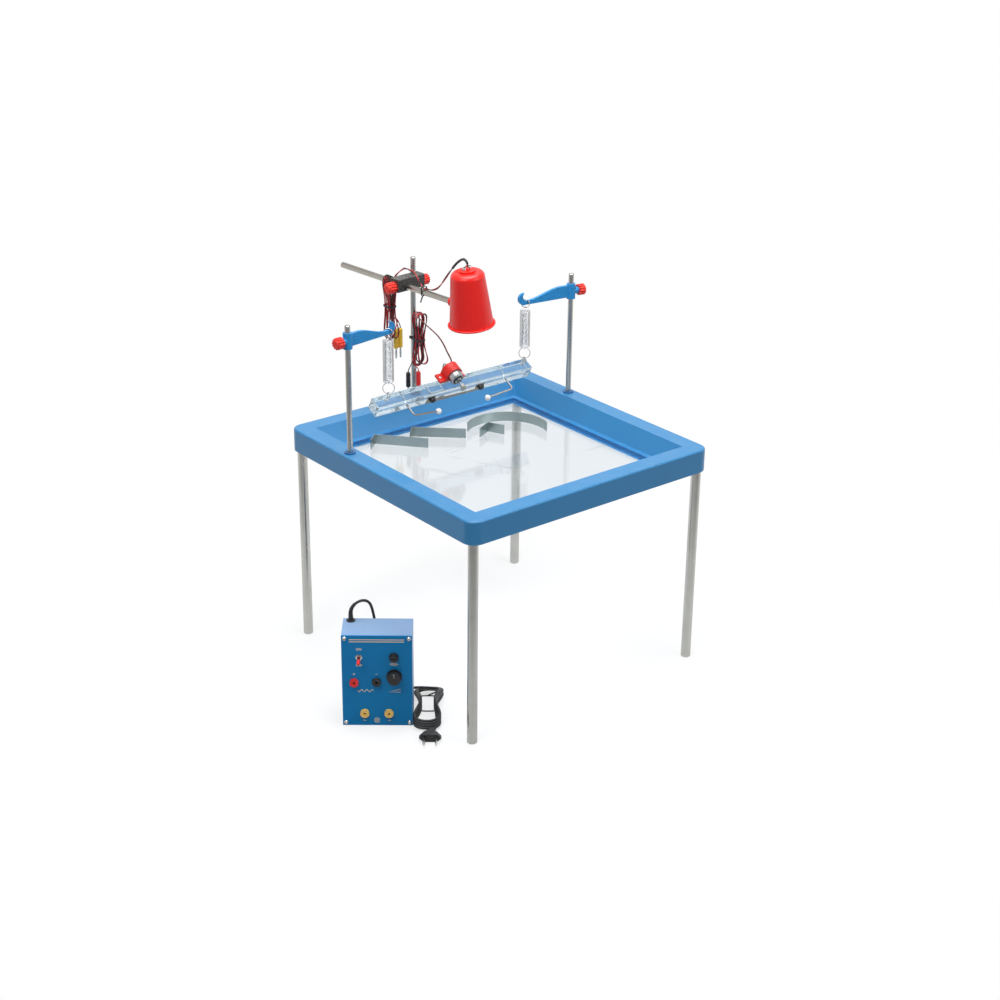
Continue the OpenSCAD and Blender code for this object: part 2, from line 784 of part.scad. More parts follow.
module dipper(side, at) {
  shank_end = dipper_out - dipper_bend;
  color([0.80, 0.80, 0.81]) in_dipper(side, at) {
    translate([0, bar_h + 2, 0]) rotate([90, 0, 0]) cylinder(d = dipper_d, h = bar_h + 2 + shank_end);
    translate([dipper_bend, -shank_end, 0]) rotate(180) rotate_extrude(angle = 90)
      translate([dipper_bend, 0]) circle(d = dipper_d);
    translate([dipper_bend, -dipper_out, 0]) rotate([0, 90, 0])
      cylinder(d = dipper_d, h = dipper_arm - dipper_bend);
  }
}

module dipper_ball(side, at) {
  color([0.93, 0.93, 0.92]) in_dipper(side, at) translate([dipper_arm, -dipper_out, 0]) difference() {
    sphere(d = ball_d);
    rotate([0, -90, 0]) cylinder(d = dipper_d, h = ball_d);
  }
}

// ---------------------------------------------------------------- lamp head

// Frame of the lamp head: Y along the rod towards the back, at the post, on the rod's height
module in_head() {
  translate([0, post_x, lamp_rod_z]) rotate(lamp_turn) children();
}

module lamp_post() {
  color("silver") translate([0, post_x, post_foot]) rod(post_d, lamp_post_top - post_foot, rod_chamfer);
}

module boss_head() {
  left = -boss_w + boss_in;
  knob_seat = shank_d + 2 * fit;
  color([0.2, 0.2, 0.2]) in_head() difference() {
    intersection() {
      translate([left, -boss_depth / 2, -boss_h / 2 + 3]) cube([boss_w, boss_depth, boss_h]);
      translate([left, 0, 3]) rotate([0, 90, 0]) cylinder(r = boss_depth * 0.68, h = boss_w, $fn = 64);
    }
    translate([0, 0, -boss_h]) cylinder(d = post_d + 2 * fit, h = 3 * boss_h);
    translate([-rod_side, boss_depth, 0]) rotate([90, 0, 0])
      cylinder(d = lamp_rod_d + 2 * fit, h = 2 * boss_depth);
    rotate([0, 90, 0]) cylinder(d = knob_seat, h = boss_w);
    translate([-rod_side, 0, 0]) rotate([0, -90, 0]) cylinder(d = knob_seat, h = boss_w);
  }
}

module boss_post_knob() {
  color([0.85, 0.22, 0.2]) in_head() translate([boss_in + gap, 0, 0]) rotate([0, 90, 0])
    knob(boss_knob_d - 1, boss_knob_l, knob_ribs, 1.6, shank_d, boss_in - post_d / 2);
}

module boss_rod_knob() {
  seat = boss_w - boss_in;
  color([0.85, 0.22, 0.2]) in_head() translate([-seat - gap, 0, 0]) rotate([0, -90, 0])
    knob(boss_knob_d, boss_knob_l, knob_ribs, 1.6, shank_d, seat - rod_side - rod_r);
}

module lamp_rod() {
  color([0.75, 0.75, 0.76]) in_head() translate([-rod_side, rod_back, 0]) rotate([90, 0, 0])
    rod(lamp_rod_d, rod_back + rod_front, rod_chamfer);
}

// Frame of the shade: Z up its axis from the mouth, leaning about the rod
module in_shade() {
  in_head() translate([-rod_side, shade_y, 0]) rotate([0, -shade_lean, 0])
    translate([0, 0, -rod_over_mouth]) children();
}

shoulder_z = shade_h - shoulder_r;
holder_hole_r = 10;

// Half section of the shade's sheet: cone, round shoulder, flat top and rolled lip
module shade_section() {
  difference() {
    union() {
      polygon([[0, 0], [shade_mouth_r, 0], [shade_top_r, shoulder_z], [0, shoulder_z]]);
      intersection() {
        translate([shade_top_r - shoulder_r, shoulder_z]) circle(shoulder_r, $fn = 64);
        translate([0, shoulder_z]) square(shade_h);
      }
      translate([0, shoulder_z - 0.01]) square([shade_top_r - shoulder_r, shoulder_r + 0.01]);
    }
    polygon([
      [0, -1], [shade_mouth_r - shade_t, -1], [shade_mouth_r - shade_t, 0],
      [shade_top_r - shade_t, shoulder_z], [0, shoulder_z]
    ]);
    intersection() {
      translate([shade_top_r - shoulder_r, shoulder_z]) circle(shoulder_r - shade_t, $fn = 64);
      translate([0, shoulder_z - 0.01]) square(shade_h);
    }
    translate([-over, shoulder_z - 0.02])
      square([shade_top_r - shoulder_r + over, shoulder_r - shade_t + 0.02]);
    translate([-over, 0]) square([holder_hole_r + over, 2 * shade_h]);
  }
  translate([shade_mouth_r + lip_r - 0.3, lip_r]) circle(lip_r, $fn = 24);
}

module lamp_shade() {
  boss_r = rod_r + 3;
  color([0.82, 0.12, 0.12]) {
    in_shade() rotate_extrude($fn = 96) shade_section();
    // socket on the shade's back that takes the lamp rod
    in_head() translate([-rod_side, -rod_front - 4, 0]) difference() {
      rotate([-90, 0, 0]) cylinder(r = boss_r, h = 14);
      translate([0, 4, 0]) rotate([-90, 0, 0]) cylinder(d = lamp_rod_d + 2 * fit, h = 14);
    }
  }
}

module lamp_holder() {
  color([0.2, 0.2, 0.2]) in_shade() {
    difference() {
      union() {
        // flange on the shade's top with the two terminals
        translate([0, 0, shade_h]) cylinder(r = holder_hole_r + 3, h = 3);
        translate([0, 0, shade_h - 16]) cylinder(r = holder_hole_r - fit, h = 16);
        translate([0, 0, shade_h - 26]) cylinder(r = holder_hole_r - 1, h = 11);
      }
      translate([0, 0, shade_h - 27]) cylinder(d = bulb_d - 5 + 2 * fit, h = 17);
    }
    for (s = [-1, 1]) translate([s * 6, 0, shade_h + 3]) cylinder(d = 6, h = 3.5, $fn = 6);
    translate([-2, -5, shade_h + 3]) cube([4, 10, 2]);
  }
}

module lamp_bulb() {
  cap_top = shade_h - 10.3;
  color([0.95, 0.95, 0.9, 0.6]) in_shade() {
    translate([0, 0, cap_top - 16]) cylinder(d = bulb_d - 5, h = 16);
    translate([0, 0, cap_top - 16 - bulb_d * 0.45]) sphere(d = bulb_d);
  }
}

// ---------------------------------------------------------------- power supply

module in_supply() {
  translate([supply_x, supply_y, 0]) rotate(supply_turn) children();
}

// A place on the panel, given from its upper left corner; Z points out of the panel
module at_panel(p) {
  translate([p[0] - case_w / 2, front_y, case_h - p[1]]) rotate([90, 0, 0]) children();
}

screw_places = [
  for (x = [screw_inset, case_w - screw_inset], z = [screw_inset, case_h - screw_inset]) [x, z]
];
gland_at = [-42, 21];
gland_d = 10;
vent_count = 7;

module supply_case() {
  inner_w = case_w - 2 * case_wall;
  inner_h = case_h - 2 * case_wall;
  color([0.45, 0.6, 0.8]) in_supply() difference() {
    union() {
      difference() {
        translate([-case_w / 2, panel_back, 0]) cube([case_w, case_d - panel_t, case_h]);
        translate([-inner_w / 2, panel_back - over, case_wall])
          cube([inner_w, case_d - panel_t - case_wall + over, inner_h]);
      }
      // corner pillars that take the panel screws
      for (p = screw_places) translate([p[0] - case_w / 2, panel_back, case_h - p[1]])
        rotate([-90, 0, 0]) cylinder(r = screw_inset - 0.5, h = 16);
    }
    for (p = screw_places) translate([p[0] - case_w / 2, panel_back - over, case_h - p[1]])
      rotate([-90, 0, 0]) cylinder(d = 3 + 2 * fit, h = 13);
    translate([gland_at[0], gland_at[1], case_h - case_wall - over])
      cylinder(d = gland_d + 2 * fit, h = case_wall + 2 * over);
    for (k = [0 : vent_count - 1])
      translate([-24, case_d / 2 - case_wall - over, case_h - 24 - 7 * k])
        cube([48, case_wall + 2 * over, 3]);
  }
}

socket_hole = socket_d - 3;
bush_hole = 7;
fuse_hole = 12;
dial_shaft = 6;

module supply_panel() {
  color([0.12, 0.38, 0.65]) in_supply() difference() {
    translate([-case_w / 2, front_y, 0]) cube([case_w, panel_t, case_h]);
    for (p = screw_places) at_panel(p) panel_hole(3.4);
    at_panel(toggle_at) panel_hole(bush_hole + 2 * fit);
    at_panel(fuse_at) panel_hole(fuse_hole + 2 * fit);
    at_panel(dial_at) panel_hole(dial_shaft + 2 * fit);
    for (p = concat([red_at, black_at], yellow_at)) at_panel(p) panel_hole(socket_hole + 2 * fit);
  }
}

module panel_hole(d) {
  translate([0, 0, -panel_t - over]) cylinder(d = d, h = panel_t + 2 * over);
}

module panel_screws() {
  color([0.6, 0.6, 0.6]) in_supply() for (p = screw_places) at_panel(p) difference() {
    union() {
      cylinder(d1 = screw_d, d2 = screw_d - 2.4, h = 2);
      translate([0, 0, -panel_t - 9]) cylinder(d = 3, h = panel_t + 9);
    }
    translate([-screw_d / 2, -0.5, 1.2]) cube([screw_d, 1, 2]);
  }
}

core_w = 52;
core_depth = 26;
core_h = 44;
coil_depth = 32;

module transformer() {
  color([0.5, 0.42, 0.35]) in_supply() translate([-8, 9, case_wall]) {
    difference() {
      translate([-core_w / 2, -core_depth / 2, 3]) cube([core_w, core_depth, core_h]);
      for (s = [-1, 1]) translate([s * core_w / 4 - 5, -core_depth, 12]) cube([10, 2 * core_depth, 26]);
    }
    // windings round the middle limb
    for (s = [-1, 1])
      translate([s * core_w / 4 - 4.7, -coil_depth / 2, 12.3]) cube([9.4, coil_depth, 25.4]);
    translate([-core_w / 2 - 6, -coil_depth / 2, 0]) cube([core_w + 12, coil_depth, 3]);
  }
}

module switch_body() {
  color([0.3, 0.3, 0.32]) in_supply() at_panel(toggle_at) {
    translate([-7, -13, -panel_t - 20]) cube([14, 26, 20]);
    difference() {
      union() {
        translate([0, 0, -panel_t - 1]) cylinder(d = bush_hole, h = panel_t + 6);
        cylinder(d = 11, h = 2, $fn = 6);
      }
      translate([0, 0, -panel_t]) cylinder(d = bush_hole - 2, h = panel_t + 6);
    }
  }
}

toggle_rest = 12;

module toggle_lever() {
  color([0.75, 0.75, 0.76]) in_supply() at_panel(toggle_at) rotate([toggle_rest, 0, 0]) {
    sphere(d = 4);
    cylinder(d1 = 2.4, d2 = 3, h = 6);
    translate([0, 0, 6]) cylinder(d1 = 3, d2 = 4.6, h = 9);
    translate([0, 0, 15]) sphere(d = 4.6);
  }
}

module fuse_holder() {
  color([0.1, 0.1, 0.1]) in_supply() at_panel(fuse_at) difference() {
    union() {
      cylinder(d = 15, h = 2.5);
      translate([0, 0, -panel_t - 24]) cylinder(d = fuse_hole, h = panel_t + 24);
      translate([0, 0, -panel_t - 4]) cylinder(d = 15, h = 4, $fn = 6);
    }
    translate([0, 0, -panel_t - 21]) cylinder(d = 8, h = panel_t + 25);
  }
}

module fuse_cap() {
  color([0.12, 0.12, 0.12]) in_supply() at_panel(fuse_at) difference() {
    union() {
      translate([0, 0, 2.5 + gap]) cylinder(d1 = 13, d2 = 11.5, h = 5);
      translate([0, 0, -8]) cylinder(d = 7.6, h = 11);
      translate([0, 0, -20]) cylinder(d = 5, h = 12);
    }
    translate([-7, -0.7, 6.4]) cube([14, 1.4, 3]);
  }
}

module control_knob() {
  color([0.1, 0.1, 0.11]) in_supply() at_panel(dial_at) difference() {
    union() {
      translate([0, 0, gap]) cylinder(d = dial_d, h = 3);
      translate([0, 0, 3]) linear_extrude(dial_l - 3) {
        circle(d = dial_d - 5);
        for (k = [0 : 17]) rotate(20 * k) translate([dial_d / 2 - 2.6, 0]) circle(0.8, $fn = 16);
      }
      translate([0, 0, -panel_t - 14]) cylinder(d = dial_shaft, h = panel_t + 15);
      translate([0, 0, -panel_t - 14]) cylinder(d = 16, h = 14 - gap);
    }
    // pointer groove
    translate([-0.6, 2, dial_l - 1]) cube([1.2, dial_d, 3]);
  }
}

module socket(p, c) {
  color(c) in_supply() at_panel(p) difference() {
    union() {
      cylinder(d = socket_d, h = socket_out);
      translate([0, 0, -panel_t - 18]) cylinder(d = socket_hole, h = panel_t + 18);
      translate([0, 0, -panel_t - 4]) cylinder(d = socket_d, h = 4, $fn = 6);
    }
    translate([0, 0, socket_out - socket_depth]) cylinder(d = socket_bore, h = socket_depth + over);
  }
}

// ---------------------------------------------------------------- leads

gland_out = 8;
mains_r = mains_d / 2;
lead_r = lead_d / 2;
lead_step = lead_d + 0.5;
mains_step = mains_d + 0.5;
// Straight ends where one run of a lead meets the next, and the gap left between them
straight = 3;
butt = 0.1;
function last_heading(p) = unit(p[len(p) - 1] - p[len(p) - 2]);

// Flat strap closed round a w by h bundle
strap_t = 0.7;
strap_w = 3;
strap_gap = 0.1;

module tie(w, h) {
  linear_extrude(strap_w, center = true) difference() {
    square([w + 2 * strap_t, h + 2 * strap_t], center = true);
    square([w, h], center = true);
  }
}

module mains_gland() {
  color([0.08, 0.08, 0.08]) in_supply() translate([gland_at[0], gland_at[1], case_h]) difference() {
    union() {
      cylinder(d = gland_d + 4, h = 1.5);
      cylinder(d1 = gland_d, d2 = mains_d + 2, h = gland_out);
      translate([0, 0, -case_wall - 12]) cylinder(d = gland_d, h = case_wall + 12);
    }
    translate([0, 0, -case_wall - 13]) cylinder(d = mains_d + 2 * fit, h = case_wall + 14);
  }
}

// The mains hank lies flat on the floor: across, along the case's depth, then up layer by layer
mains_hank_l = 120;
mains_hank_b = 42;
mains_hank_at = [76.2, 14, 3.1];
mains_hank_from = 300;
mains_hank_to = 360 * mains_loops + 110;
function mains_loops_path() = [
  for (a = [mains_hank_from : 360 / hank_rings : mains_hank_to])
    let (p = hank_point(a, mains_hank_l, mains_hank_b, mains_step))
      [p[0], p[2], mains_step * (a - mains_hank_from) / 360] + mains_hank_at
];

plug_w = 35.3;
plug_h = 13.7;
plug_l = 17;
pin_pitch = 19;
plug_at = [82.2, -79];
plug_route = [[82.2, -61.8, 6.9], [82.2, -58, 6.5], [82.7, -53, 4.8], [85.2, -46, 3.1]];

module mains_hank() {
  path = concat(smooth(plug_route, 2), mains_loops_path());
  high = mains_step * (mains_hank_to - mains_hank_from) / 360;
  echo("least gap of the mains hank to itself", self_distance(path, 6) - mains_d);
  color([0.1, 0.1, 0.1]) in_supply() {
    tube(path, mains_r, 6);
    translate([mains_hank_at[0], mains_hank_at[1], mains_hank_at[2] + high / 2]) rotate([90, 0, 0])
      tie(2 * (hank_waist * mains_hank_b + mains_r + gap), high + 2 * (mains_r + strap_gap));
  }
}

// Route of the mains lead in the supply's frame: out of the gland, over and down behind the case
mains_route = [
  [-42, 21, 164.1], [-42, 21, 170], [-40.6, 21.6, 176.5], [-36.6, 23.6, 182], [-31, 26.4, 185.4],
  [-24.6, 30, 186.2], [-18.6, 33.4, 184], [-13.8, 36.8, 178.6], [-11, 39.6, 170.5], [-9, 42, 160],
  [-7, 44.4, 145], [-6, 46, 120], [-5, 47, 90], [-4, 48, 60], [-2.4, 49, 38], [1, 50.3, 22],
  [7, 52.3, 10.5], [16, 55.4, 4.4], [26, 59, 3.6], [36, 63.6, 8], [45, 68, 16]
];

module mains_lead() {
  loops = mains_loops_path();
  end = loops[len(loops) - 1];
  away = last_heading(loops);
  path = concat(smooth(concat(mains_route, [end + straight * away]), 3), [end + butt * away]);
  color([0.1, 0.1, 0.1]) in_supply() tube(path, mains_r, 8);
}

module mains_plug() {
  color([0.1, 0.1, 0.1]) in_supply() translate([plug_at[0], plug_at[1], plug_h / 2]) {
    translate([0, plug_l, 0]) rotate([90, 0, 0]) linear_extrude(plug_l)
      polygon([
        [-plug_w / 2, 0], [-plug_w / 2 + 7, -plug_h / 2], [plug_w / 2 - 7, -plug_h / 2],
        [plug_w / 2, 0], [plug_w / 2 - 7, plug_h / 2], [-plug_w / 2 + 7, plug_h / 2]
      ]);
    for (s = [-1, 1]) translate([s * pin_pitch / 2, 1, 0]) rotate([90, 0, 0]) cylinder(d = 4, h = 20);
  }
}

// Lamp lead: from the terminals on the shade back to the tie on the lamp rod
lamp_joint = [-17.4, 168, 583.5];
lamp_route = [
  [-14, 62, 644.5], [-14, 62, 648], [-14, 63.6, 651.4], [-14, 67, 653.8], [-14, 72, 654.2],
  [-14, 79.5, 651], [-15, 90, 642.5], [-15, 104, 628], [-16, 117, 612], [-16.5, 128, 599],
  [-16.8, 139, 590], [-16.8, 151, 585], [-17.1, 162, 583.5]
];

module lamp_lead() {
  color([0.35, 0.08, 0.1]) tube(concat(smooth(lamp_route, 3), [lamp_joint - [0, butt, 0]]), lead_r, 8);
}

// Lamp hank: over the clamping block, then loops round the lamp rod behind it, then the free end
lamp_hank_l = 110;
lamp_hank_b = 18.6;
lamp_hank_y = 248;
lamp_hank_at = [-24.8, lamp_hank_y, lamp_rod_z + rod_r + lead_r + 0.8 - lamp_hank_l / 2];
lamp_hank_from = 75;
lamp_hank_to = 360 * lead_loops + 180;
over_boss_route = [
  lamp_joint, [-17.8, 172.5, 583.5], [-18, 177.5, 585.5], [-18, 182, 590], [-17.8, 187, 596],
  [-17, 196, 601], [-15.5, 211, 603], [-14, 226, 602], [-13.5, 238, 597]
];
function lamp_loops_path() = [
  for (a = [lamp_hank_from : 360 / hank_rings : lamp_hank_to])
    let (p = hank_point(a, lamp_hank_l, lamp_hank_b, lead_step))
      turned([-p[0], p[1] - lead_step * lamp_hank_from / 360, p[2]], lamp_turn) + lamp_hank_at
];
rod_strap_y = -52;
lamp_free_route = [
  [-20, 264.8, 519], [-16, 265.5, 512], [-10.5, 266, 507], [-5.6, 266, 503.4], [-2.4, 266, 498.6]
];

module lamp_hank() {
  loops = lamp_loops_path();
  thick = lead_step * (lamp_hank_to - lamp_hank_from) / 360;
  path = concat(
    smooth(concat(over_boss_route, [loops[0]]), 3),
    [for (i = [1 : len(loops) - 2]) loops[i]],
    smooth(concat([loops[len(loops) - 1]], lamp_free_route), 3)
  );
  echo("least gap of the lamp hank to itself", self_distance(path, 6) - lead_d);
  color([0.35, 0.08, 0.1]) {
    tube(path, lead_r, 6);
    translate(lamp_hank_at) rotate(lamp_turn) translate([0, thick / 2, 4])
      tie(2 * (hank_waist * lamp_hank_b + lead_r + 0.6), thick + 2 * (lead_r + gap));
    // strap that holds the lead down on the lamp rod
    in_head() translate([-rod_side, rod_strap_y, lead_r + gap]) rotate([90, 0, 0])
      tie(lamp_rod_d + 2 * gap, lamp_rod_d + lead_d + 4 * gap);
  }
}

// Slim 4 mm plug along +Z, pin down, with its core of the lead coming in along route
core_r = 1.1;

module lead_plug(c, at, l, route) {
  color(c) translate(at) {
    rod(8, l, 1);
    translate([0, 0, -18]) cylinder(d = 4, h = 19);
  }
  color([0.3, 0.08, 0.1]) tube(smooth(concat(route, [at + [0, 0, l + 3], at + [0, 0, l - 1]]), 2), core_r, 6);
}

yellow_l = 34;
yellow_left = [-6.5, 266, 452];
yellow_right = [2.5, 266, 452];

module yellow_plugs() {
  lead_plug([0.93, 0.77, 0.2], yellow_left, yellow_l,
    [[-3.6, 266, 496.6], [-4.2, 266, 494.8], [-5.5, 266, 492.2]]);
  lead_plug([0.93, 0.77, 0.2], yellow_right, yellow_l,
    [[0, 266, 496.6], [0.4, 266, 494.8], [1.5, 266, 492.2]]);
}

// Motor hank, tied to the front of the lamp post; its front layer takes the lead to the motor
motor_hank_l = 91;
motor_hank_b = 18.6;
motor_hank_z = 482;
motor_hank_from = 80;
motor_hank_to = 360 * lead_loops + 180;
motor_hank_thick = lead_step * (motor_hank_to - motor_hank_from) / 360;
motor_hank_gap = 1.5;
motor_hank_y = post_x - post_d / 2 - lead_r - motor_hank_gap - motor_hank_thick;
function motor_loops_path() = [
  for (a = [motor_hank_from : 360 / hank_rings : motor_hank_to])
    let (p = hank_point(a, motor_hank_l, motor_hank_b, lead_step))
      [-p[0], motor_hank_y + lead_step * (a - motor_hank_from) / 360, p[2] + motor_hank_z]
];
motor_joint = [-13.5, 191, 526.5];
motor_joint_way = unit([2, 6, 0.4]);
motor_in_route = [
  motor_joint, motor_joint + straight * motor_joint_way, [-10.5, 199, 527.5], [-7.5, 201.5, 527.7]
];
motor_free_route = [
  [4.6, 218.4, 472], [4, 218.6, 462], [1, 218.6, 452], [-4, 218.6, 445], [-7, 218.4, 441]
];

module motor_hank() {
  loops = motor_loops_path();
  path = concat(
    smooth(concat(motor_in_route, [loops[0]]), 3),
    [for (i = [1 : len(loops) - 2]) loops[i]],
    smooth(concat([loops[len(loops) - 1]], motor_free_route), 3)
  );
  echo("least gap of the motor hank to itself", self_distance(path, 6) - lead_d);
  color([0.3, 0.08, 0.1]) {
    tube(path, lead_r, 6);
    translate([0, (motor_hank_y - lead_r + post_x + post_d / 2) / 2, motor_hank_z])
      tie(2 * (hank_waist * motor_hank_b + lead_r + 0.6),
        post_x + post_d / 2 - motor_hank_y + lead_r + 2 * gap);
  }
}

// Motor lead, in the bar's pose: from the tags at the back of the can up to the motor hank
motor_route = [
  [1.5, 131.6, 455.6], [3.5, 129, 459.3], [4, 126, 464], [0, 124, 473], [-6, 125, 485], [-11, 129, 499],
  [-15, 137, 510], [-16.5, 152, 517], [-16.5, 168, 521.5], [-15.5, 182, 525]
];

module motor_lead() {
  path = concat(
    smooth(concat(motor_route, [motor_joint - straight * motor_joint_way]), 3),
    [motor_joint - butt * motor_joint_way]
  );
  color([0.1, 0.1, 0.1]) tube(path, lead_r, 8);
}

motor_plug_l = 26;
black_plug = [-21, 212, 402];
red_plug = [0, 212, 399];

module motor_plugs() {
  lead_plug([0.1, 0.1, 0.1], black_plug, motor_plug_l,
    [[-8.6, 218.4, 440], [-12, 217, 437], [-18, 213, 434]]);
  lead_plug([0.85, 0.15, 0.15], red_plug, motor_plug_l,
    [[-7, 218.4, 440], [-6, 217, 437], [-2, 213, 432]]);
}

// ---------------------------------------------------------------- assembly

tray();
glass_seal();
glass_pane();
legs();
hook_post(-1);  // left_hook_post
hook_post(1);  // right_hook_post
post_collars();
supply_case();
supply_panel();
panel_screws();
transformer();
switch_body();
toggle_lever();
fuse_holder();
fuse_cap();
control_knob();
socket(red_at, [0.8, 0.15, 0.15]);  // socket_red
socket(black_at, [0.1, 0.1, 0.1]);  // socket_black
for (p = yellow_at) socket(p, [0.93, 0.77, 0.2]);  // sockets_yellow
mains_gland();
mains_lead();
mains_hank();
mains_plug();
angle_barrier(long_left_at, -48.9, long_leg, short_leg);  // long_barrier_left
angle_barrier(long_right_at, -42.2, long_leg, short_leg);  // long_barrier_right
curved_barrier();
angle_barrier(corner_at, -64.6, corner_leg, corner_leg);  // corner_barrier
at_left_arm() arm();  // left_arm
at_right_arm() arm();  // right_arm
at_left_arm() arm_knob();  // left_arm_knob
at_right_arm() arm_knob();  // right_arm_knob
spring(-1, left_hub_z, left_turns, arm_swing);  // left_spring
spring(1, right_hub_z, right_turns, 180 - arm_swing);  // right_spring
upper_rings();
beam_eyes();
beam();
clamp_strip();
motor_saddle();
motor_can();
motor_eccentric();
dipper(-1, left_dipper);
dipper(1, right_dipper);
dipper_ball(-1, left_dipper);  // left_dipper_ball
dipper_ball(1, right_dipper);  // right_dipper_ball
clamp_knob(-1);  // left_clamp_knob
clamp_knob(1);  // right_clamp_knob
lamp_post();
boss_head();
boss_post_knob();
boss_rod_knob();
lamp_rod();
lamp_shade();
lamp_holder();
lamp_bulb();
lamp_lead();
lamp_hank();
yellow_plugs();
motor_hank();
motor_lead();
motor_plugs();
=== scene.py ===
"""Ripple tank: the looks of the part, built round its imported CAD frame.

Everything is in metres in the part's frame: the origin is on the floor under the
middle of the tray, +Z is up and +Y runs towards the lamp post. Route points and
other sizes that repeat the part's own source are written in millimetres and are
turned into metres where they are used.
"""

import json
import math

import bmesh
import bpy
import numpy as np
from mathutils import Matrix

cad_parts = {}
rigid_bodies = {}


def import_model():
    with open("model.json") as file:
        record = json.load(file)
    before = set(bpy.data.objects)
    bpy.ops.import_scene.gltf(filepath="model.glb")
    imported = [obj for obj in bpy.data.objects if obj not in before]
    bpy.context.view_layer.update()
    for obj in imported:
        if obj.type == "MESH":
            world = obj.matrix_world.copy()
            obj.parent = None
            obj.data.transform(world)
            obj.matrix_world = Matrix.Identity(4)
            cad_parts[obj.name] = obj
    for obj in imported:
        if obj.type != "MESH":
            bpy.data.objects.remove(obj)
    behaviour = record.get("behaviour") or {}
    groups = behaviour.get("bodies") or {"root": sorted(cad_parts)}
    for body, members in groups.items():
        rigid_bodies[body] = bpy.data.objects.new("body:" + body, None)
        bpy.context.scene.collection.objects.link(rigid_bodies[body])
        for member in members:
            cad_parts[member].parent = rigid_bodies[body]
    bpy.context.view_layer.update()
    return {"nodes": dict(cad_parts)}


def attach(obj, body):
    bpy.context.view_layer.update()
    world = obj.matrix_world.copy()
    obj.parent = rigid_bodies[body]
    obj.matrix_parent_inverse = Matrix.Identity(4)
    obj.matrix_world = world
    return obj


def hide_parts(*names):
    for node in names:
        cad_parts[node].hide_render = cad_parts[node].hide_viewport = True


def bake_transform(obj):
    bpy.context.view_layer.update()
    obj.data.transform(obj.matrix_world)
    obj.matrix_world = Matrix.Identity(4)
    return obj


for thing in list(bpy.data.objects):
    bpy.data.objects.remove(thing)
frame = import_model()
nodes = frame["nodes"]
scene = bpy.context.scene
MM = 0.001

# ------------------------------------------------------------------ places


def shift(x, y, z):
    """Matrix that moves a point by (x, y, z)."""
    m = np.eye(4)
    m[:3, 3] = (x, y, z)
    return m


def turn(axis, degrees):
    """Matrix that turns a point about one axis through the origin."""
    a = math.radians(degrees)
    i, j = {"x": (1, 2), "y": (2, 0), "z": (0, 1)}[axis]
    m = np.eye(4)
    m[i, i] = m[j, j] = math.cos(a)
    m[i, j], m[j, i] = -math.sin(a), math.sin(a)
    return m


def placed(m, points):
    """Points (millimetres in the frame of m) as points in the part's frame, in metres."""
    p = np.asarray(points, float).reshape(-1, 3)
    return (p @ m[:3, :3].T + m[:3, 3]) * MM


# Frames of the bar, of the motor on it, of the clamping block, of the shade and of the supply, in
# millimetres, as the part's own source places them.
IN_BAR = shift(-4, 114.16, 427.12) @ turn("x", 29)
IN_MOTOR = IN_BAR @ shift(-1, -6, 23.3)
IN_HEAD = shift(0, 225, 576.5) @ turn("z", 5.2)
IN_SHADE = IN_HEAD @ shift(-22.5, -161.4, 0) @ turn("y", -6.5) @ shift(0, 0, -29)
IN_SUPPLY = shift(-292, -74, 0) @ turn("z", -38.4)


def on_panel(x, y):
    """Frame of a place on the supply's panel, from its upper left corner, Z out of the panel."""
    return IN_SUPPLY @ shift(x - 54, -29, 156 - y) @ turn("x", 90)


# ------------------------------------------------------------------ camera


def unit(v):
    """v divided by its length."""
    return v / np.linalg.norm(v)


def add_camera():
    """Camera at the photograph's place: it looks along (sin yaw·cos pitch, cos yaw·cos pitch,
    −sin pitch), and its right and up are turned by the roll about that line."""
    yaw, pitch, roll = (math.radians(a) for a in (39.071, 23.844, 0.68))
    level_part = math.cos(pitch)
    ahead = np.array([math.sin(yaw) * level_part, math.cos(yaw) * level_part, -math.sin(pitch)])
    level = np.array([math.cos(yaw), -math.sin(yaw), 0])
    rise = np.cross(level, ahead)
    right = math.cos(roll) * level + math.sin(roll) * rise
    up = math.cos(roll) * rise - math.sin(roll) * level
    data = bpy.data.cameras.new("camera")
    data.lens = 67.295
    data.sensor_width = 36
    data.clip_start = 0.05
    data.clip_end = 50
    eye = bpy.data.objects.new("camera", data)
    m = np.eye(4)
    m[:3, 0], m[:3, 1], m[:3, 2] = right, up, -ahead
    m[:3, 3] = (-1.7472, -2.1605, 1.4924)
    scene.collection.objects.link(eye)
    eye.matrix_world = Matrix(m.tolist())
    scene.camera = eye


add_camera()

# ------------------------------------------------------------------ surfaces


def smooth_curve(points, steps):
    """Catmull-Rom curve: each span is the cubic whose slopes at its two points are half the
    step between the points before and after them, taken at even steps."""
    p = np.asarray(points, float)
    q = np.vstack([p[:1], p, p[-1:]])
    a, b, c, d = (x[:, None, :] for x in (q[:-3], q[1:-2], q[2:-1], q[3:]))
    t = (np.arange(steps) / steps)[None, :, None]
    square, cube = 2 * a - 5 * b + 4 * c - d, 3 * b - a - 3 * c + d
    spans = 0.5 * (2 * b + (c - a) * t + square * t**2 + cube * t**3)
    return np.vstack([spans.reshape(-1, 3), p[-1:]])


def path_frames(path, first=None):
    """Headings and side vectors of a path: the first side is square to the first heading, and
    each next one is the one before it with its part along the new heading taken away."""
    heading = np.gradient(path, axis=0)
    heading /= np.linalg.norm(heading, axis=1)[:, None]
    start = np.array([0, 0, 1.0]) if abs(heading[0][2]) < 0.9 else np.array([1.0, 0, 0])
    side = np.cross(heading[0], start) if first is None else np.asarray(first, float)
    sides = []
    for h in heading:
        side = unit(side - h * (side @ h))
        sides.append(side)
    sides = np.array(sides)
    return heading, sides, np.cross(heading, sides)


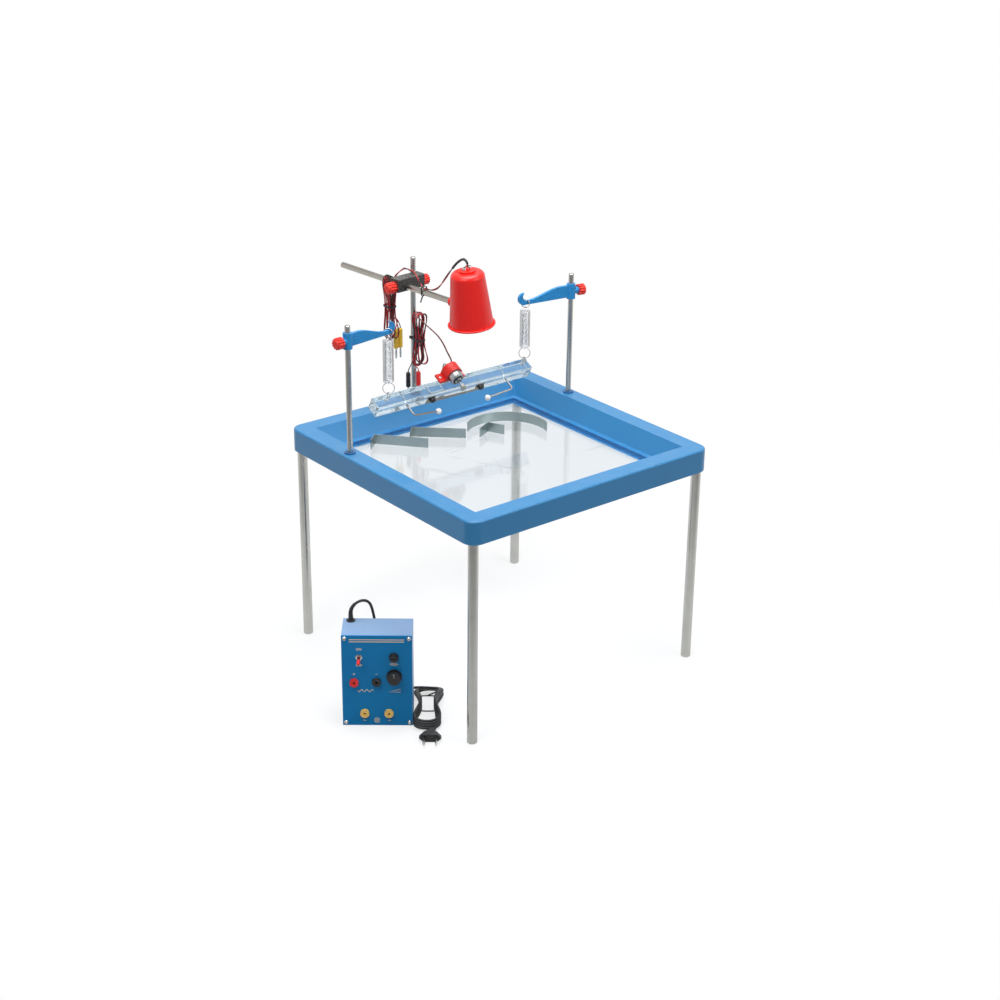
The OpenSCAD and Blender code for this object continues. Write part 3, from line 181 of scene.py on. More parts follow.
def travel(path):
    """Distance run along a path up to each of its points: the running sum of its steps."""
    return np.concatenate([[0], np.cumsum(np.linalg.norm(np.diff(path, axis=0), axis=1))])


def stretch(path, distances):
    """Points of a path at given distances along it, on the straight steps between its points."""
    return np.stack([np.interp(distances, travel(path), path[:, c]) for c in range(3)], 1)


def eased(path, joints, reach=9, rounds=50):
    """Path whose joints between two stretches are rounded: each point near one of the numbered
    points moves toward the middle between its neighbours, the less the further from it, again
    and again. The ends stay."""
    p, k = path.copy(), np.arange(1, len(path) - 1)
    away = np.min([abs(k - n % len(path)) for n in joints], axis=0)
    from_ends = np.clip(np.minimum(k - 3, len(path) - 4 - k) / 4, 0, 1)
    share = 0.25 * np.clip(1 - away / reach, 0, 1) * from_ends
    for _ in range(rounds):
        p[1:-1] += share[:, None] * (p[:-2] - 2 * p[1:-1] + p[2:])
    return p


def swept(path, section, scale=None, turns=0.0, first=None, closed=False):
    """Surface along a path: ring i is path[i] + scale[i]·(x·side + y·other) over the section's
    points (x, y), turned by turns·360°·i/(n−1). Open ends get a flat cap each."""
    path = np.asarray(path, float)
    n, k = len(path), len(section)
    heading, side, other = path_frames(path, first)
    if closed:
        heading = np.roll(path, -1, 0) - np.roll(path, 1, 0)
        heading /= np.linalg.norm(heading, axis=1)[:, None]
        other = unit(np.asarray(first, float)) * np.ones((n, 1))
        side = np.cross(other, heading)
    s = np.asarray(section, float)
    grow = np.ones(n) if scale is None else np.asarray(scale, float)
    a = 2 * math.pi * turns * np.arange(n) / max(1, n - 1)
    x = s[None, :, 0] * np.cos(a)[:, None] - s[None, :, 1] * np.sin(a)[:, None]
    y = s[None, :, 0] * np.sin(a)[:, None] + s[None, :, 1] * np.cos(a)[:, None]
    x, y = x * grow[:, None], y * grow[:, None]
    verts = path[:, None, :] + x[..., None] * side[:, None, :] + y[..., None] * other[:, None, :]
    return verts.reshape(-1, 3), grid_faces(n, k, closed) + ([] if closed else end_caps(n, k))


def grid_faces(n, k, wrap_rows=False):
    """Quads of a grid of n rings of k points: each joins a point, the next round the ring and
    the same two on the next ring."""
    i, j = np.meshgrid(np.arange(n if wrap_rows else n - 1), np.arange(k), indexing="ij")
    i2, j2 = (i + 1) % n, (j + 1) % k
    quads = np.stack([i * k + j, i * k + j2, i2 * k + j2, i2 * k + j], -1)
    return quads.reshape(-1, 4).tolist()


def end_caps(n, k):
    """Flat caps on the first and the last of n rings of k points."""
    return [list(range(k))[::-1], list(range((n - 1) * k, n * k))]


def round_section(r, k=12):
    """Circle of radius r as k points."""
    a = 2 * math.pi * np.arange(k) / k
    return np.stack([r * np.cos(a), r * np.sin(a)], 1)


def twin_section(r, apart, k=9):
    """Figure of eight: two arcs of 300 degrees, radius r, whose centres are apart from the middle."""
    a = np.radians(np.linspace(-150, 150, k))
    right = np.stack([apart + r * np.cos(a), r * np.sin(a)], 1)
    return np.vstack([right, -right])


def lathed(profile, m, k=48):
    """Surface of revolution: the profile's point (r, h) goes to (r·cos a, r·sin a, h) in frame m."""
    p = np.asarray(profile, float)
    a = 2 * math.pi * np.arange(k) / k
    ring = np.stack([np.cos(a), np.sin(a)], 1)
    xy = p[:, None, :1] * ring[None]
    z = np.broadcast_to(p[:, None, 1:], (len(p), k, 1))
    verts = np.concatenate([xy, z], -1).reshape(-1, 3)
    caps = [cap for cap, r in zip(end_caps(len(p), k), p[[0, -1], 0]) if r > 0]
    return placed(m, verts), grid_faces(len(p), k) + caps


def lofted(rings, m):
    """Closed surface through rings of equal count, each an array of (x, y, z) in frame m."""
    r = np.asarray(rings, float)
    n, k = r.shape[:2]
    return placed(m, r.reshape(-1, 3)), grid_faces(n, k) + end_caps(n, k)


def piece(name, parts, body, materials, replaces=(), sharp=40, ride=True):
    """Object from parts (points, faces, material number), merged, closed and facing outwards."""
    verts, faces, paint = [], [], []
    for part in parts:
        v, f = part[0], part[1]
        number = part[2] if len(part) > 2 else 0
        base = sum(len(x) for x in verts)
        verts.append(np.asarray(v, float))
        faces += [[base + q for q in face] for face in f]
        paint += list(number) if hasattr(number, "__len__") else [number] * len(f)
    mesh = bpy.data.meshes.new(name)
    mesh.from_pydata(np.vstack(verts).tolist(), [], faces)
    mesh.polygons.foreach_set("material_index", paint)
    work = bmesh.new()
    work.from_mesh(mesh)
    bmesh.ops.remove_doubles(work, verts=work.verts, dist=1e-7)
    bmesh.ops.recalc_face_normals(work, faces=work.faces)
    work.to_mesh(mesh)
    work.free()
    mesh.polygons.foreach_set("use_smooth", [True] * len(mesh.polygons))
    mesh.set_sharp_from_angle(angle=math.radians(sharp))
    obj = bpy.data.objects.new(name, mesh)
    scene.collection.objects.link(obj)
    for material in materials:
        mesh.materials.append(material)
    if ride:
        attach(obj, body)
    if replaces:
        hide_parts(*replaces)
    return obj


# ------------------------------------------------------------------ shader groups


def srgb(r, g, b):
    """A colour read in 0 to 255, as linear numbers."""
    c = np.array([r, g, b]) / 255
    return tuple(np.where(c <= 0.04045, c / 12.92, ((c + 0.055) / 1.055) ** 2.4)) + (1.0,)


def new_group(name, inputs, outputs):
    """Empty shader group with named sockets; inputs are (name, kind, first value)."""
    tree = bpy.data.node_groups.new(name, "ShaderNodeTree")
    for label, kind, value in inputs:
        s = tree.interface.new_socket(label, in_out="INPUT", socket_type="NodeSocket" + kind)
        s.default_value = value
    for label, kind in outputs:
        tree.interface.new_socket(label, in_out="OUTPUT", socket_type="NodeSocket" + kind)
    return tree, tree.nodes.new("NodeGroupInput"), tree.nodes.new("NodeGroupOutput")


def feed(tree, n, values):
    """Gives a node's inputs their values or links. A key is the input's name with underscores for
    spaces, or i and its number."""
    for key, value in values.items():
        socket = n.inputs[int(key[1:])] if key[1:].isdigit() else n.inputs[key.replace("_", " ")]
        if isinstance(value, bpy.types.NodeSocket):
            tree.links.new(value, socket)
        else:
            socket.default_value = value
    return n


def node(tree, kind, settings=None, **values):
    """Adds a node, with its settings, and its inputs as values or links."""
    n = tree.nodes.new("ShaderNode" + kind)
    for key, value in (settings or {}).items():
        setattr(n, key, value)
    return feed(tree, n, values)


def math_node(tree, what, a, b=0.0, clamp=False, **third):
    """Result of one sum on two values or links, or on three with i2."""
    return node(tree, "Math", {"operation": what, "use_clamp": clamp}, i0=a, i1=b, **third).outputs[0]


def mix_colour(tree, share, a, b):
    """Colour a turned into b by share."""
    return node(tree, "Mix", {"data_type": "RGBA"}, i0=share, i6=a, i7=b).outputs[2]


def ranged(tree, value, low, high, to_low=0.0, to_high=1.0):
    """value carried from low..high to to_low..to_high and held there."""
    n = node(tree, "MapRange", {"clamp": True}, i0=value, i1=low, i2=high, i3=to_low, i4=to_high)
    return n.outputs[0]


def make_grain():
    """Moulded or painted surface: broad noise lightens and darkens the colour, the same noise
    spreads the roughness, and fine noise plus small cells gives the height."""
    tree, i, o = new_group(
        "surface_grain",
        [("Colour", "Color", (1, 1, 1, 1)), ("Variation", "Float", 0.1), ("Roughness", "Float", 0.4),
         ("Spread", "Float", 0.14), ("Patch scale", "Float", 14.0), ("Grain scale", "Float", 900.0)],
        [("Colour", "Color"), ("Roughness", "Float"), ("Height", "Float")],
    )
    at = node(tree, "TexCoord").outputs["Object"]
    patches = i.outputs["Patch scale"]
    broad = node(tree, "TexNoise", Vector=at, Scale=patches, Detail=4.0, Roughness=0.6).outputs[0]
    fine = node(tree, "TexNoise", Vector=at, Scale=i.outputs["Grain scale"], Detail=2.0).outputs[0]
    cells = node(tree, "TexVoronoi", Vector=at, Scale=i.outputs["Grain scale"]).outputs["Distance"]
    swing = math_node(tree, "SUBTRACT", broad, 0.5)
    tone = math_node(tree, "MULTIPLY_ADD", swing, i.outputs["Variation"], i2=1.0)
    lit = node(tree, "VectorMath", {"operation": "SCALE"}, i0=i.outputs["Colour"], Scale=tone).outputs[0]
    tree.links.new(lit, o.inputs["Colour"])
    rough = math_node(tree, "MULTIPLY_ADD", swing, i.outputs["Spread"], i2=i.outputs["Roughness"])
    tree.links.new(math_node(tree, "ADD", rough, 0.0, True), o.inputs["Roughness"])
    height = math_node(tree, "ADD", fine, math_node(tree, "MULTIPLY", cells, 0.6))
    tree.links.new(height, o.inputs["Height"])
    return tree


def make_wear():
    """Edges rubbed light: where the normal rounded over a small radius leaves the face's own
    normal, broken up by noise, the colour turns into the worn one."""
    tree, i, o = new_group(
        "edge_wear",
        [("Colour", "Color", (1, 1, 1, 1)), ("Worn colour", "Color", (1, 1, 1, 1)),
         ("Radius", "Float", 0.001), ("Amount", "Float", 0.5)],
        [("Colour", "Color"), ("Mask", "Float")],
    )
    at = node(tree, "TexCoord").outputs["Object"]
    rounded = node(tree, "Bevel", {"samples": 4}, Radius=i.outputs["Radius"]).outputs[0]
    own = node(tree, "NewGeometry").outputs["Normal"]
    same = node(tree, "VectorMath", {"operation": "DOT_PRODUCT"}, i0=rounded, i1=own).outputs["Value"]
    edge = ranged(tree, same, 0.995, 0.86)
    chips = node(tree, "TexNoise", Vector=at, Scale=160.0, Detail=5.0).outputs[0]
    broken = ranged(tree, chips, 0.38, 0.62)
    mask = math_node(tree, "MULTIPLY", math_node(tree, "MULTIPLY", edge, broken), i.outputs["Amount"], True)
    rubbed = mix_colour(tree, mask, i.outputs["Colour"], i.outputs["Worn colour"])
    tree.links.new(rubbed, o.inputs["Colour"])
    tree.links.new(mask, o.inputs["Mask"])
    return tree


def make_dust():
    """Thin dust on what faces up: the normal's height picks the faces, noise breaks the film,
    the colour turns a little grey and the roughness rises."""
    tree, i, o = new_group(
        "settled_dust",
        [("Colour", "Color", (1, 1, 1, 1)), ("Roughness", "Float", 0.4), ("Amount", "Float", 0.1)],
        [("Colour", "Color"), ("Roughness", "Float")],
    )
    at = node(tree, "TexCoord").outputs["Object"]
    up = node(tree, "SeparateXYZ", i0=node(tree, "NewGeometry").outputs["Normal"]).outputs[2]
    film = node(tree, "TexNoise", Vector=at, Scale=55.0, Detail=6.0, Roughness=0.65).outputs[0]
    mask = math_node(tree, "MULTIPLY", ranged(tree, up, 0.55, 0.95), ranged(tree, film, 0.4, 0.75))
    mask = math_node(tree, "MULTIPLY", mask, i.outputs["Amount"], True)
    grey = (0.55, 0.56, 0.56, 1.0)
    tree.links.new(mix_colour(tree, mask, i.outputs["Colour"], grey), o.inputs["Colour"])
    dull = math_node(tree, "MULTIPLY", mask, 0.5)
    tree.links.new(math_node(tree, "ADD", i.outputs["Roughness"], dull, True), o.inputs["Roughness"])
    return tree


def make_brushed():
    """Drawn or turned metal: noise stretched by a vector gives fine streaks for the roughness
    and height, and broad noise a faint change of tone."""
    tree, i, o = new_group(
        "drawn_metal",
        [("Colour", "Color", (1, 1, 1, 1)), ("Stretch", "Vector", (900, 900, 12)),
         ("Roughness", "Float", 0.25), ("Streaks", "Float", 0.12)],
        [("Colour", "Color"), ("Roughness", "Float"), ("Height", "Float")],
    )
    at = node(tree, "TexCoord").outputs["Object"]
    along = node(tree, "VectorMath", {"operation": "MULTIPLY"}, i0=at, i1=i.outputs["Stretch"]).outputs[0]
    streak = node(tree, "TexNoise", Vector=along, Scale=1.0, Detail=3.0).outputs[0]
    cloud = node(tree, "TexNoise", Vector=at, Scale=35.0, Detail=5.0).outputs[0]
    swing = math_node(tree, "SUBTRACT", streak, 0.5)
    rough = math_node(tree, "MULTIPLY_ADD", swing, i.outputs["Streaks"], i2=i.outputs["Roughness"])
    smear = math_node(tree, "MULTIPLY", ranged(tree, cloud, 0.5, 0.8), 0.12)
    tree.links.new(math_node(tree, "ADD", rough, smear, True), o.inputs["Roughness"])
    tone = ranged(tree, math_node(tree, "MULTIPLY", streak, cloud), 0.1, 0.45, 0.86, 1.05)
    lit = node(tree, "VectorMath", {"operation": "SCALE"}, i0=i.outputs["Colour"], Scale=tone).outputs[0]
    tree.links.new(lit, o.inputs["Colour"])
    tree.links.new(streak, o.inputs["Height"])
    return tree


def make_scuffs():
    """Hairline scratches and wiped smears: the thin borders of two stretched, warped cell
    patterns give the lines, broad noise the smears."""
    tree, i, o = new_group(
        "hairlines",
        [("Scale", "Float", 9.0), ("Roughness", "Float", 0.02), ("Smear", "Float", 0.05)],
        [("Roughness", "Float"), ("Lines", "Float")],
    )
    at = node(tree, "TexCoord").outputs["Object"]
    warp = node(tree, "TexNoise", Vector=at, Scale=5.0, Detail=2.0).outputs["Color"]
    bent = node(tree, "VectorMath", {"operation": "MULTIPLY_ADD"}, i0=warp, i1=[0.06] * 3, i2=at).outputs[0]
    lines = None
    for degrees, squeeze in ((28, (1, 0.22, 1)), (-47, (0.3, 1, 1))):
        spun = (0, 0, math.radians(degrees))
        m = node(tree, "Mapping", Vector=bent, Rotation=spun, Scale=squeeze).outputs[0]
        cell = node(tree, "TexVoronoi", {"feature": "DISTANCE_TO_EDGE"}, Vector=m, Scale=i.outputs["Scale"])
        thin = ranged(tree, cell.outputs["Distance"], 0.0035, 0.0)
        lines = thin if lines is None else math_node(tree, "MAXIMUM", lines, thin)
    clouds = node(tree, "TexNoise", Vector=at, Scale=13.0, Detail=4.0).outputs[0]
    patchy = ranged(tree, clouds, 0.48, 0.7)
    lines = math_node(tree, "MULTIPLY", lines, patchy)
    smear = math_node(tree, "MULTIPLY", patchy, i.outputs["Smear"])
    rough = math_node(tree, "ADD", math_node(tree, "ADD", i.outputs["Roughness"], smear),
                      math_node(tree, "MULTIPLY", lines, 0.4), True)
    tree.links.new(rough, o.inputs["Roughness"])
    tree.links.new(lines, o.inputs["Lines"])
    return tree


GRAIN, WEAR, DUST = make_grain(), make_wear(), make_dust()
BRUSHED, SCUFFS = make_brushed(), make_scuffs()


def group_node(tree, group, **values):
    """Places a group with its inputs as values or links."""
    return node(tree, "Group", {"node_tree": group}, **values)


def blank(name):
    """New material with its shader and output; returns the material, its tree and the shader."""
    material = bpy.data.materials.new(name)
    material.use_nodes = True
    tree = material.node_tree
    return material, tree, tree.nodes["Principled BSDF"]


def set_plain(shader, plain):
    """Numbers that are the same all over, on the shader's own sockets."""
    for key, value in plain.items():
        shader.inputs[key.replace("_", " ")].default_value = value


def bump(tree, shader, height, strength, distance):
    """Height as a bump that feeds the shader's normal."""
    n = node(tree, "Bump", Strength=strength, Distance=distance, Height=height)
    tree.links.new(n.outputs[0], shader.inputs["Normal"])


def moulded(name, colour, rough=0.38, variation=0.12, worn=None, dust=0.1, grain=0.25,
            grain_scale=900.0, radius=0.0012, worn_amount=0.5, **plain):
    """Plastic, rubber or paint: grain, rubbed edges and dust on one shader."""
    material, tree, shader = blank(name)
    g = group_node(tree, GRAIN, Colour=colour, Variation=variation, Roughness=rough, Grain_scale=grain_scale)
    colour_now, rough_now = g.outputs["Colour"], g.outputs["Roughness"]
    if worn is not None:
        w = group_node(tree, WEAR, Colour=colour_now, Worn_colour=worn, Radius=radius, Amount=worn_amount)
        colour_now = w.outputs["Colour"]
    if dust:
        d = group_node(tree, DUST, Colour=colour_now, Roughness=rough_now, Amount=dust)
        colour_now, rough_now = d.outputs["Colour"], d.outputs["Roughness"]
    tree.links.new(colour_now, shader.inputs["Base Color"])
    tree.links.new(rough_now, shader.inputs["Roughness"])
    if grain:
        bump(tree, shader, g.outputs["Height"], grain, 0.00004)
    set_plain(shader, plain)
    return material


def metal(name, colour, rough=0.22, streaks=0.12, stretch=(900, 900, 12)):
    """Bare or plated metal with drawn streaks."""
    material, tree, shader = blank(name)
    g = group_node(tree, BRUSHED, Colour=colour, Roughness=rough, Streaks=streaks, Stretch=stretch)
    tree.links.new(g.outputs["Colour"], shader.inputs["Base Color"])
    tree.links.new(g.outputs["Roughness"], shader.inputs["Roughness"])
    bump(tree, shader, g.outputs["Height"], 0.08, 0.00003)
    set_plain(shader, {"Metallic": 1.0})
    return material


def clear(name, colour, ior, rough=0.01, smear=0.03, scale=9.0, lines=0.2, solid=0.0):
    """Glass or acrylic with hairlines. Shadow rays, and rays that have already met many faces,
    pass straight through, so that it neither darkens the floor nor traps light to black."""
    material, tree, shader = blank(name)
    s = group_node(tree, SCUFFS, Scale=scale, Roughness=rough, Smear=smear)
    tree.links.new(s.outputs["Roughness"], shader.inputs["Roughness"])
    share = math_node(tree, "MULTIPLY", s.outputs["Lines"], lines, True)
    tree.links.new(mix_colour(tree, share, colour, srgb(120, 130, 134)), shader.inputs["Base Color"])
    set_plain(shader, {"Transmission_Weight": 1.0 - solid, "IOR": ior})
    bump(tree, shader, s.outputs["Lines"], 0.3, 0.00002)
    through = node(tree, "BsdfTransparent", Color=tuple(0.5 + 0.5 * c for c in colour[:3]) + (1.0,))
    path = node(tree, "LightPath").outputs
    deep = math_node(tree, "GREATER_THAN", path["Ray Depth"], 3.5)
    both = node(tree, "MixShader", i0=math_node(tree, "MAXIMUM", path["Is Shadow Ray"], deep),
                i1=shader.outputs[0], i2=through.outputs[0])
    tree.links.new(both.outputs[0], tree.nodes["Material Output"].inputs[0])
    return material


# The finishes, by the part's material slots; those from print_amber on are this script's own.
M = {
    "tray_blue": moulded("tray_blue_plastic", srgb(50, 131, 186), 0.34, 0.08, srgb(110, 170, 224),
                         0.08, 0.3, Specular_IOR_Level=0.5),
    "collar_blue": moulded("collar_dark_blue", srgb(28, 92, 150), 0.4, worn=srgb(90, 140, 190)),
    # The seal gets the saturated darker blue of the band at the slope's foot, which is the tray's own wall in
    # shadow: painted shade, not the seal's own colour.
    "seal_rubber": moulded("seal_rubber", srgb(10, 112, 186), 0.6, grain=0.4),
    "clear_glass": clear("pane_glass", srgb(234, 240, 244), 1.42, 0.05, 0.05, 5.0, 0.7),
    "steel_rod": metal("drawn_steel", srgb(190, 190, 186), 0.2),
    "case_paint": moulded("case_enamel", srgb(140, 172, 212), 0.4, 0.08, srgb(176, 200, 226),
                          0.12, 0.5, 500.0, Specular_IOR_Level=0.3),
    "panel_paint": moulded("panel_enamel", srgb(12, 128, 192), 0.36, 0.1, srgb(90, 150, 200),
                           0.0, 0.35, 700.0, Specular_IOR_Level=0.2),
    "plated_steel": metal("plated_steel", srgb(206, 206, 204), 0.24, stretch=(500, 500, 500)),
    "core_iron": metal("core_iron", srgb(120, 106, 92), 0.5, 0.2, (40, 40, 1400)),
    "black_plastic": moulded("black_plastic", srgb(28, 28, 30), 0.42, 0.3, srgb(86, 86, 88)),
    "dial_black": moulded("dial_black", srgb(24, 24, 26), 0.36, 0.3, srgb(80, 80, 82)),
    "socket_red": moulded("socket_red_plastic", srgb(238, 48, 46), 0.3, 0.1, srgb(246, 120, 110),
                          Specular_IOR_Level=0.35),
    "socket_black": moulded("socket_black_plastic", srgb(20, 20, 22), 0.32, 0.2, srgb(80, 80, 84)),
    "socket_yellow": moulded("socket_yellow_plastic", srgb(255, 208, 112), 0.32, 0.1, srgb(255, 232, 170)),
    "cable_black": moulded("lead_black_sheath", srgb(30, 30, 32), 0.45, 0.25, None, 0.08, 0.2, 1500.0),
    "cable_red": moulded("lead_red_sheath", srgb(196, 40, 46), 0.42, 0.2, None, 0.06, 0.2, 1500.0),
    "barrier_grey": metal("barrier_sheet", srgb(172, 186, 186), 0.34, 0.16, (12, 700, 700)),
    "arm_blue": moulded("arm_blue_plastic", srgb(46, 146, 212), 0.36, 0.12, srgb(110, 176, 222),
                        Specular_IOR_Level=0.3),
    "knob_red": moulded("knob_red_plastic", srgb(240, 58, 48), 0.34, 0.12, srgb(248, 128, 112),
                        Specular_IOR_Level=0.3),
    "spring_steel": metal("spring_wire", srgb(214, 215, 216), 0.18, stretch=(600, 600, 600)),
    "clear_acrylic": clear("bar_acrylic", srgb(206, 222, 232), 1.49, 0.02, 0.06, 30.0, solid=0.06),
    "strip_metal": metal("strip_sheet", srgb(150, 144, 136), 0.36, 0.2, (14, 600, 600)),
    "saddle_red": moulded("saddle_red_plastic", srgb(232, 44, 36), 0.34, 0.12, srgb(246, 120, 106),
                          Specular_IOR_Level=0.3),
    "can_steel": metal("motor_can_steel", srgb(176, 178, 180), 0.26, 0.14, (500, 30, 500)),
    "weight_brass": metal("weight_metal", srgb(172, 174, 172), 0.3, 0.14, (500, 500, 500)),
    "ball_white": moulded("ball_white_plastic", srgb(250, 246, 242), 0.3, 0.05, None, 0.05, 0.1),
    "holder_red": moulded("holder_red_plastic", srgb(232, 34, 28), 0.4, 0.1, srgb(246, 110, 90),
                          Specular_IOR_Level=0.35),
    "boss_black": moulded("boss_black_casting", srgb(58, 56, 53), 0.5, 0.35, srgb(112, 110, 106),
                          0.2, 0.9, 420.0),
    "shade_red": moulded("shade_red_enamel", srgb(244, 30, 24), 0.33, 0.08, srgb(250, 100, 80),
                         0.06, 0.35, 420.0, 0.0014, 0.35, Specular_IOR_Level=0.5),
    "bulb_glass": clear("bulb_glass", srgb(246, 246, 240), 1.45, 0.01, 0.01, 60.0),
    "plug_yellow": moulded("plug_yellow_plastic", srgb(255, 208, 62), 0.34, 0.1, srgb(255, 232, 140)),
    "print_amber": moulded("panel_print", srgb(248, 222, 172), 0.5, 0.15, None, 0.0, 0.1),
    "mark_white": moulded("pointer_white", srgb(224, 224, 222), 0.5, 0.1, None, 0.0, 0.1),
    # The bead's saturated blue is painted shade: the colour of the band at the slope's foot in shadow, not
    # the sealant's own.
    "sealant": moulded("pane_sealant_painted_shade", srgb(24, 118, 190), 0.3, 0.1, None, 0.1, 0.2, 300.0),
    # Pale edge finish for the clear bar: partly the matt tone of sawn acrylic and partly painted highlight
    # standing for light caught on its clear edges.
    "edge_frost": moulded("edge_frost", srgb(208, 216, 218), 0.5, 0.3, None, 0.0, 0.5),
    "tie_black": moulded("tie_black_strip", srgb(34, 34, 36), 0.5, 0.2, None, 0.05, 0.2),
    "pin_metal": metal("pin_metal", srgb(214, 212, 206), 0.2, 0.12, (600, 600, 600)),
    "dipper_rod": metal("dipper_rod", srgb(150, 148, 144), 0.3, stretch=(500, 500, 500)),
    "filament": metal("filament_wire", srgb(150, 150, 152), 0.3),
}

# ------------------------------------------------------------------ leads and their plugs


# Hanks: degrees between a loop's points, the waist's share of a loop's width, and how much the
# lower ends of the loops differ in length.
STEP_DEGREES = 7.5
WAIST = 0.25
LOOP_SLACK = 0.05


def hank_loops(first, last, length, width, step, m, mirror=1.0, fan=(0, 0, 0)):
    """Loops of a hank: x = b·cos a·(1/4 + 3/4·sin² a), z = L/2·sin a, and each turn moves one
    step along y. The lower and the upper halves lean sideways by slow sine waves over the turns k,
    fan times |sin a|^1.5, so that the loops spread, and the lower ends differ in length by up to
    a twentieth. Mirrored in x and carried to frame m."""
    a = np.arange(first, last + 0.01, STEP_DEGREES)
    r, k = np.radians(a), (a - first) / 360
    low, high = np.clip(-np.sin(r), 0, 1) ** 1.5, np.clip(np.sin(r), 0, 1) ** 1.5
    x = mirror * width * np.cos(r) * (WAIST + (1 - WAIST) * np.sin(r) ** 2)
    x = x + low * (fan[0] * np.sin(2.6 * k + 0.4) + fan[2]) + high * fan[1] * np.sin(2.1 * k + 1.2)
    z = length / 2 * np.sin(r) + LOOP_SLACK * min(1, fan[0]) * length * low * np.sin(1.7 * k) ** 2
    return placed(m, np.stack([x, step * k, z], 1)) / MM


def strap(centre, across, up, w, h, wide, thick):
    """Flat strap round a w by h bundle: a closed round-cornered path whose section is a flat bar."""
    across, up = np.asarray(across, float), np.asarray(up, float)
    out = np.cross(across, up)
    a = np.radians(np.arange(0, 360, 7.5))
    e = 0.42
    x = (w + thick) / 2 * np.sign(np.cos(a)) * np.abs(np.cos(a)) ** e
    z = (h + thick) / 2 * np.sign(np.sin(a)) * np.abs(np.sin(a)) ** e
    loop = np.asarray(centre, float) + x[:, None] * across + z[:, None] * up
    t, s = thick / 2, wide / 2
    section = np.array([[-t, -s], [t, -s], [t * 1.3, -s * 0.6], [t * 1.3, s * 0.6], [t, s], [-t, s]])
    return swept(loop * MM, section * MM, closed=True, first=out)


def twisted_ends(start, way, side, length, r):
    """Two wire ends of a tie twisted round each other: two helices of one radius about a line."""
    t = np.linspace(0, 1, 40)
    way, side = unit(np.asarray(way, float)), unit(np.asarray(side, float))
    other = np.cross(way, side)
    parts = []
    for phase in (0, math.pi):
        a = phase + 2 * math.pi * 4 * t
        line = np.asarray(start, float) + length * t[:, None] * way
        line = line + r * 0.9 * (np.cos(a)[:, None] * side + np.sin(a)[:, None] * other)
        parts.append(swept(line * MM, round_section(r * MM, 6)))
    return parts


def slim_plug(m, length, grip, groove=9):
    """Profile of a 4 mm plug's grip: chamfered ends and shallow grooves round its upper half."""
    h = np.linspace(0, length, 60)
    r = np.full(60, grip / 2)
    r -= 1.2 * np.clip((1.2 - h) / 1.2, 0, 1) ** 2 + 1.6 * np.clip((h - length + 3.2) / 3.2, 0, 1) ** 1.6
    ribs = (h > length * 0.45) & (h < length - 4)
    r -= 0.3 * ribs * (0.5 - 0.5 * np.cos(2 * math.pi * h / (length / groove)))
    profile = np.vstack([[0, 0], np.stack([r, h], 1), [0, length]])
    return lathed(profile, m, 24)


def spring_pin(m, length, r=1.95):
    """4 mm plug pin: a barrel that swells in four leaves round its core."""
    h = np.linspace(-length, 0, 30)
    swell = np.exp(-(((h + length * 0.5) / (length * 0.22)) ** 2))
    radius = r * (0.84 + 0.16 * swell)
    radius[0] = r * 0.5
    return lathed(np.vstack([[0, -length], np.stack([radius, h], 1), [0, 0]]), m, 24)


def lead_cores(routes, r=0.85):
    """Single cores, from the split of a twin lead into the plugs."""
    return [swept(smooth_curve(p, 4) * MM, round_section(r * MM, 10)) for p in routes]


# Mains lead: over the case, down its back, through the hank on the floor, to the plug.
MAINS_ROUTE = [
    [-42, 21, 164.1], [-42, 21, 170], [-40.6, 21.6, 176.5], [-36.6, 23.6, 182], [-31, 26.4, 185.4],
    [-24.6, 30, 186.2], [-18.6, 33.4, 184], [-13.8, 36.8, 178.6], [-11, 39.6, 170.5], [-9, 42, 160],
    [-7, 44.4, 145], [-6, 46, 120], [-5, 47, 90], [-4, 48, 60], [-2.4, 49, 38], [1, 50.3, 22],
    [7, 52.3, 10.5], [16, 55.4, 4.4], [26, 59, 3.6], [36, 62, 8], [46, 65, 15],
]
PLUG_ROUTE = [[85.2, -46, 3.1], [82.7, -53, 4.8], [82.2, -58, 6.5], [82.2, -61.8, 6.9]]
MAINS_HANK_AT = np.array([76.2, 14, 3.1])
# Degrees from which and to which the hank is wound, its rise in each turn, and the lead's width.
MAINS_LOOPS = (300, 1910)
MAINS_STEP = 5
MAINS_D = 4.5


def flat_loops(first, last, length, width, step, at):
    """The mains hank lies flat: across, along the case's depth, then up one layer a turn. Each turn
    is shorter than the one below and its ends sink by half, so that the ends lie side by side."""
    p = hank_loops(first, last, length, width, step, shift(0, 0, 0), fan=(0, 3, 0))
    size = np.linspace(1.06, 0.84, len(p))
    sink = 1 - 0.5 * (2 * p[:, 2] / length) ** 2
    return np.stack([p[:, 0] * 1.06, p[:, 2] * size, p[:, 1] * sink], 1) + at


def mains_path():
    """Whole centreline of the mains lead in the part's frame, from the gland to the plug."""
    loops = flat_loops(*MAINS_LOOPS, 120, 42, MAINS_STEP, MAINS_HANK_AT)
    end, away = loops[-1], unit(loops[-1] - loops[-2])
    lead = smooth_curve(MAINS_ROUTE + [list(end + 3 * away)], 6)
    tail = smooth_curve([list(loops[0])] + PLUG_ROUTE, 4)
    whole = np.vstack([[-42, 21, 160], lead, loops[::-1], tail[1:]])
    return placed(IN_SUPPLY, eased(whole, [len(lead) - 6, len(lead), -len(tail), 6 - len(tail)]))


MAINS = mains_path()
mains_lead = piece(
    "mains_cord", [swept(MAINS, round_section(MAINS_D / 2 * MM, 12))], "supply",
    [M["cable_black"]], ["mains_lead", "mains_hank"], 60,
)


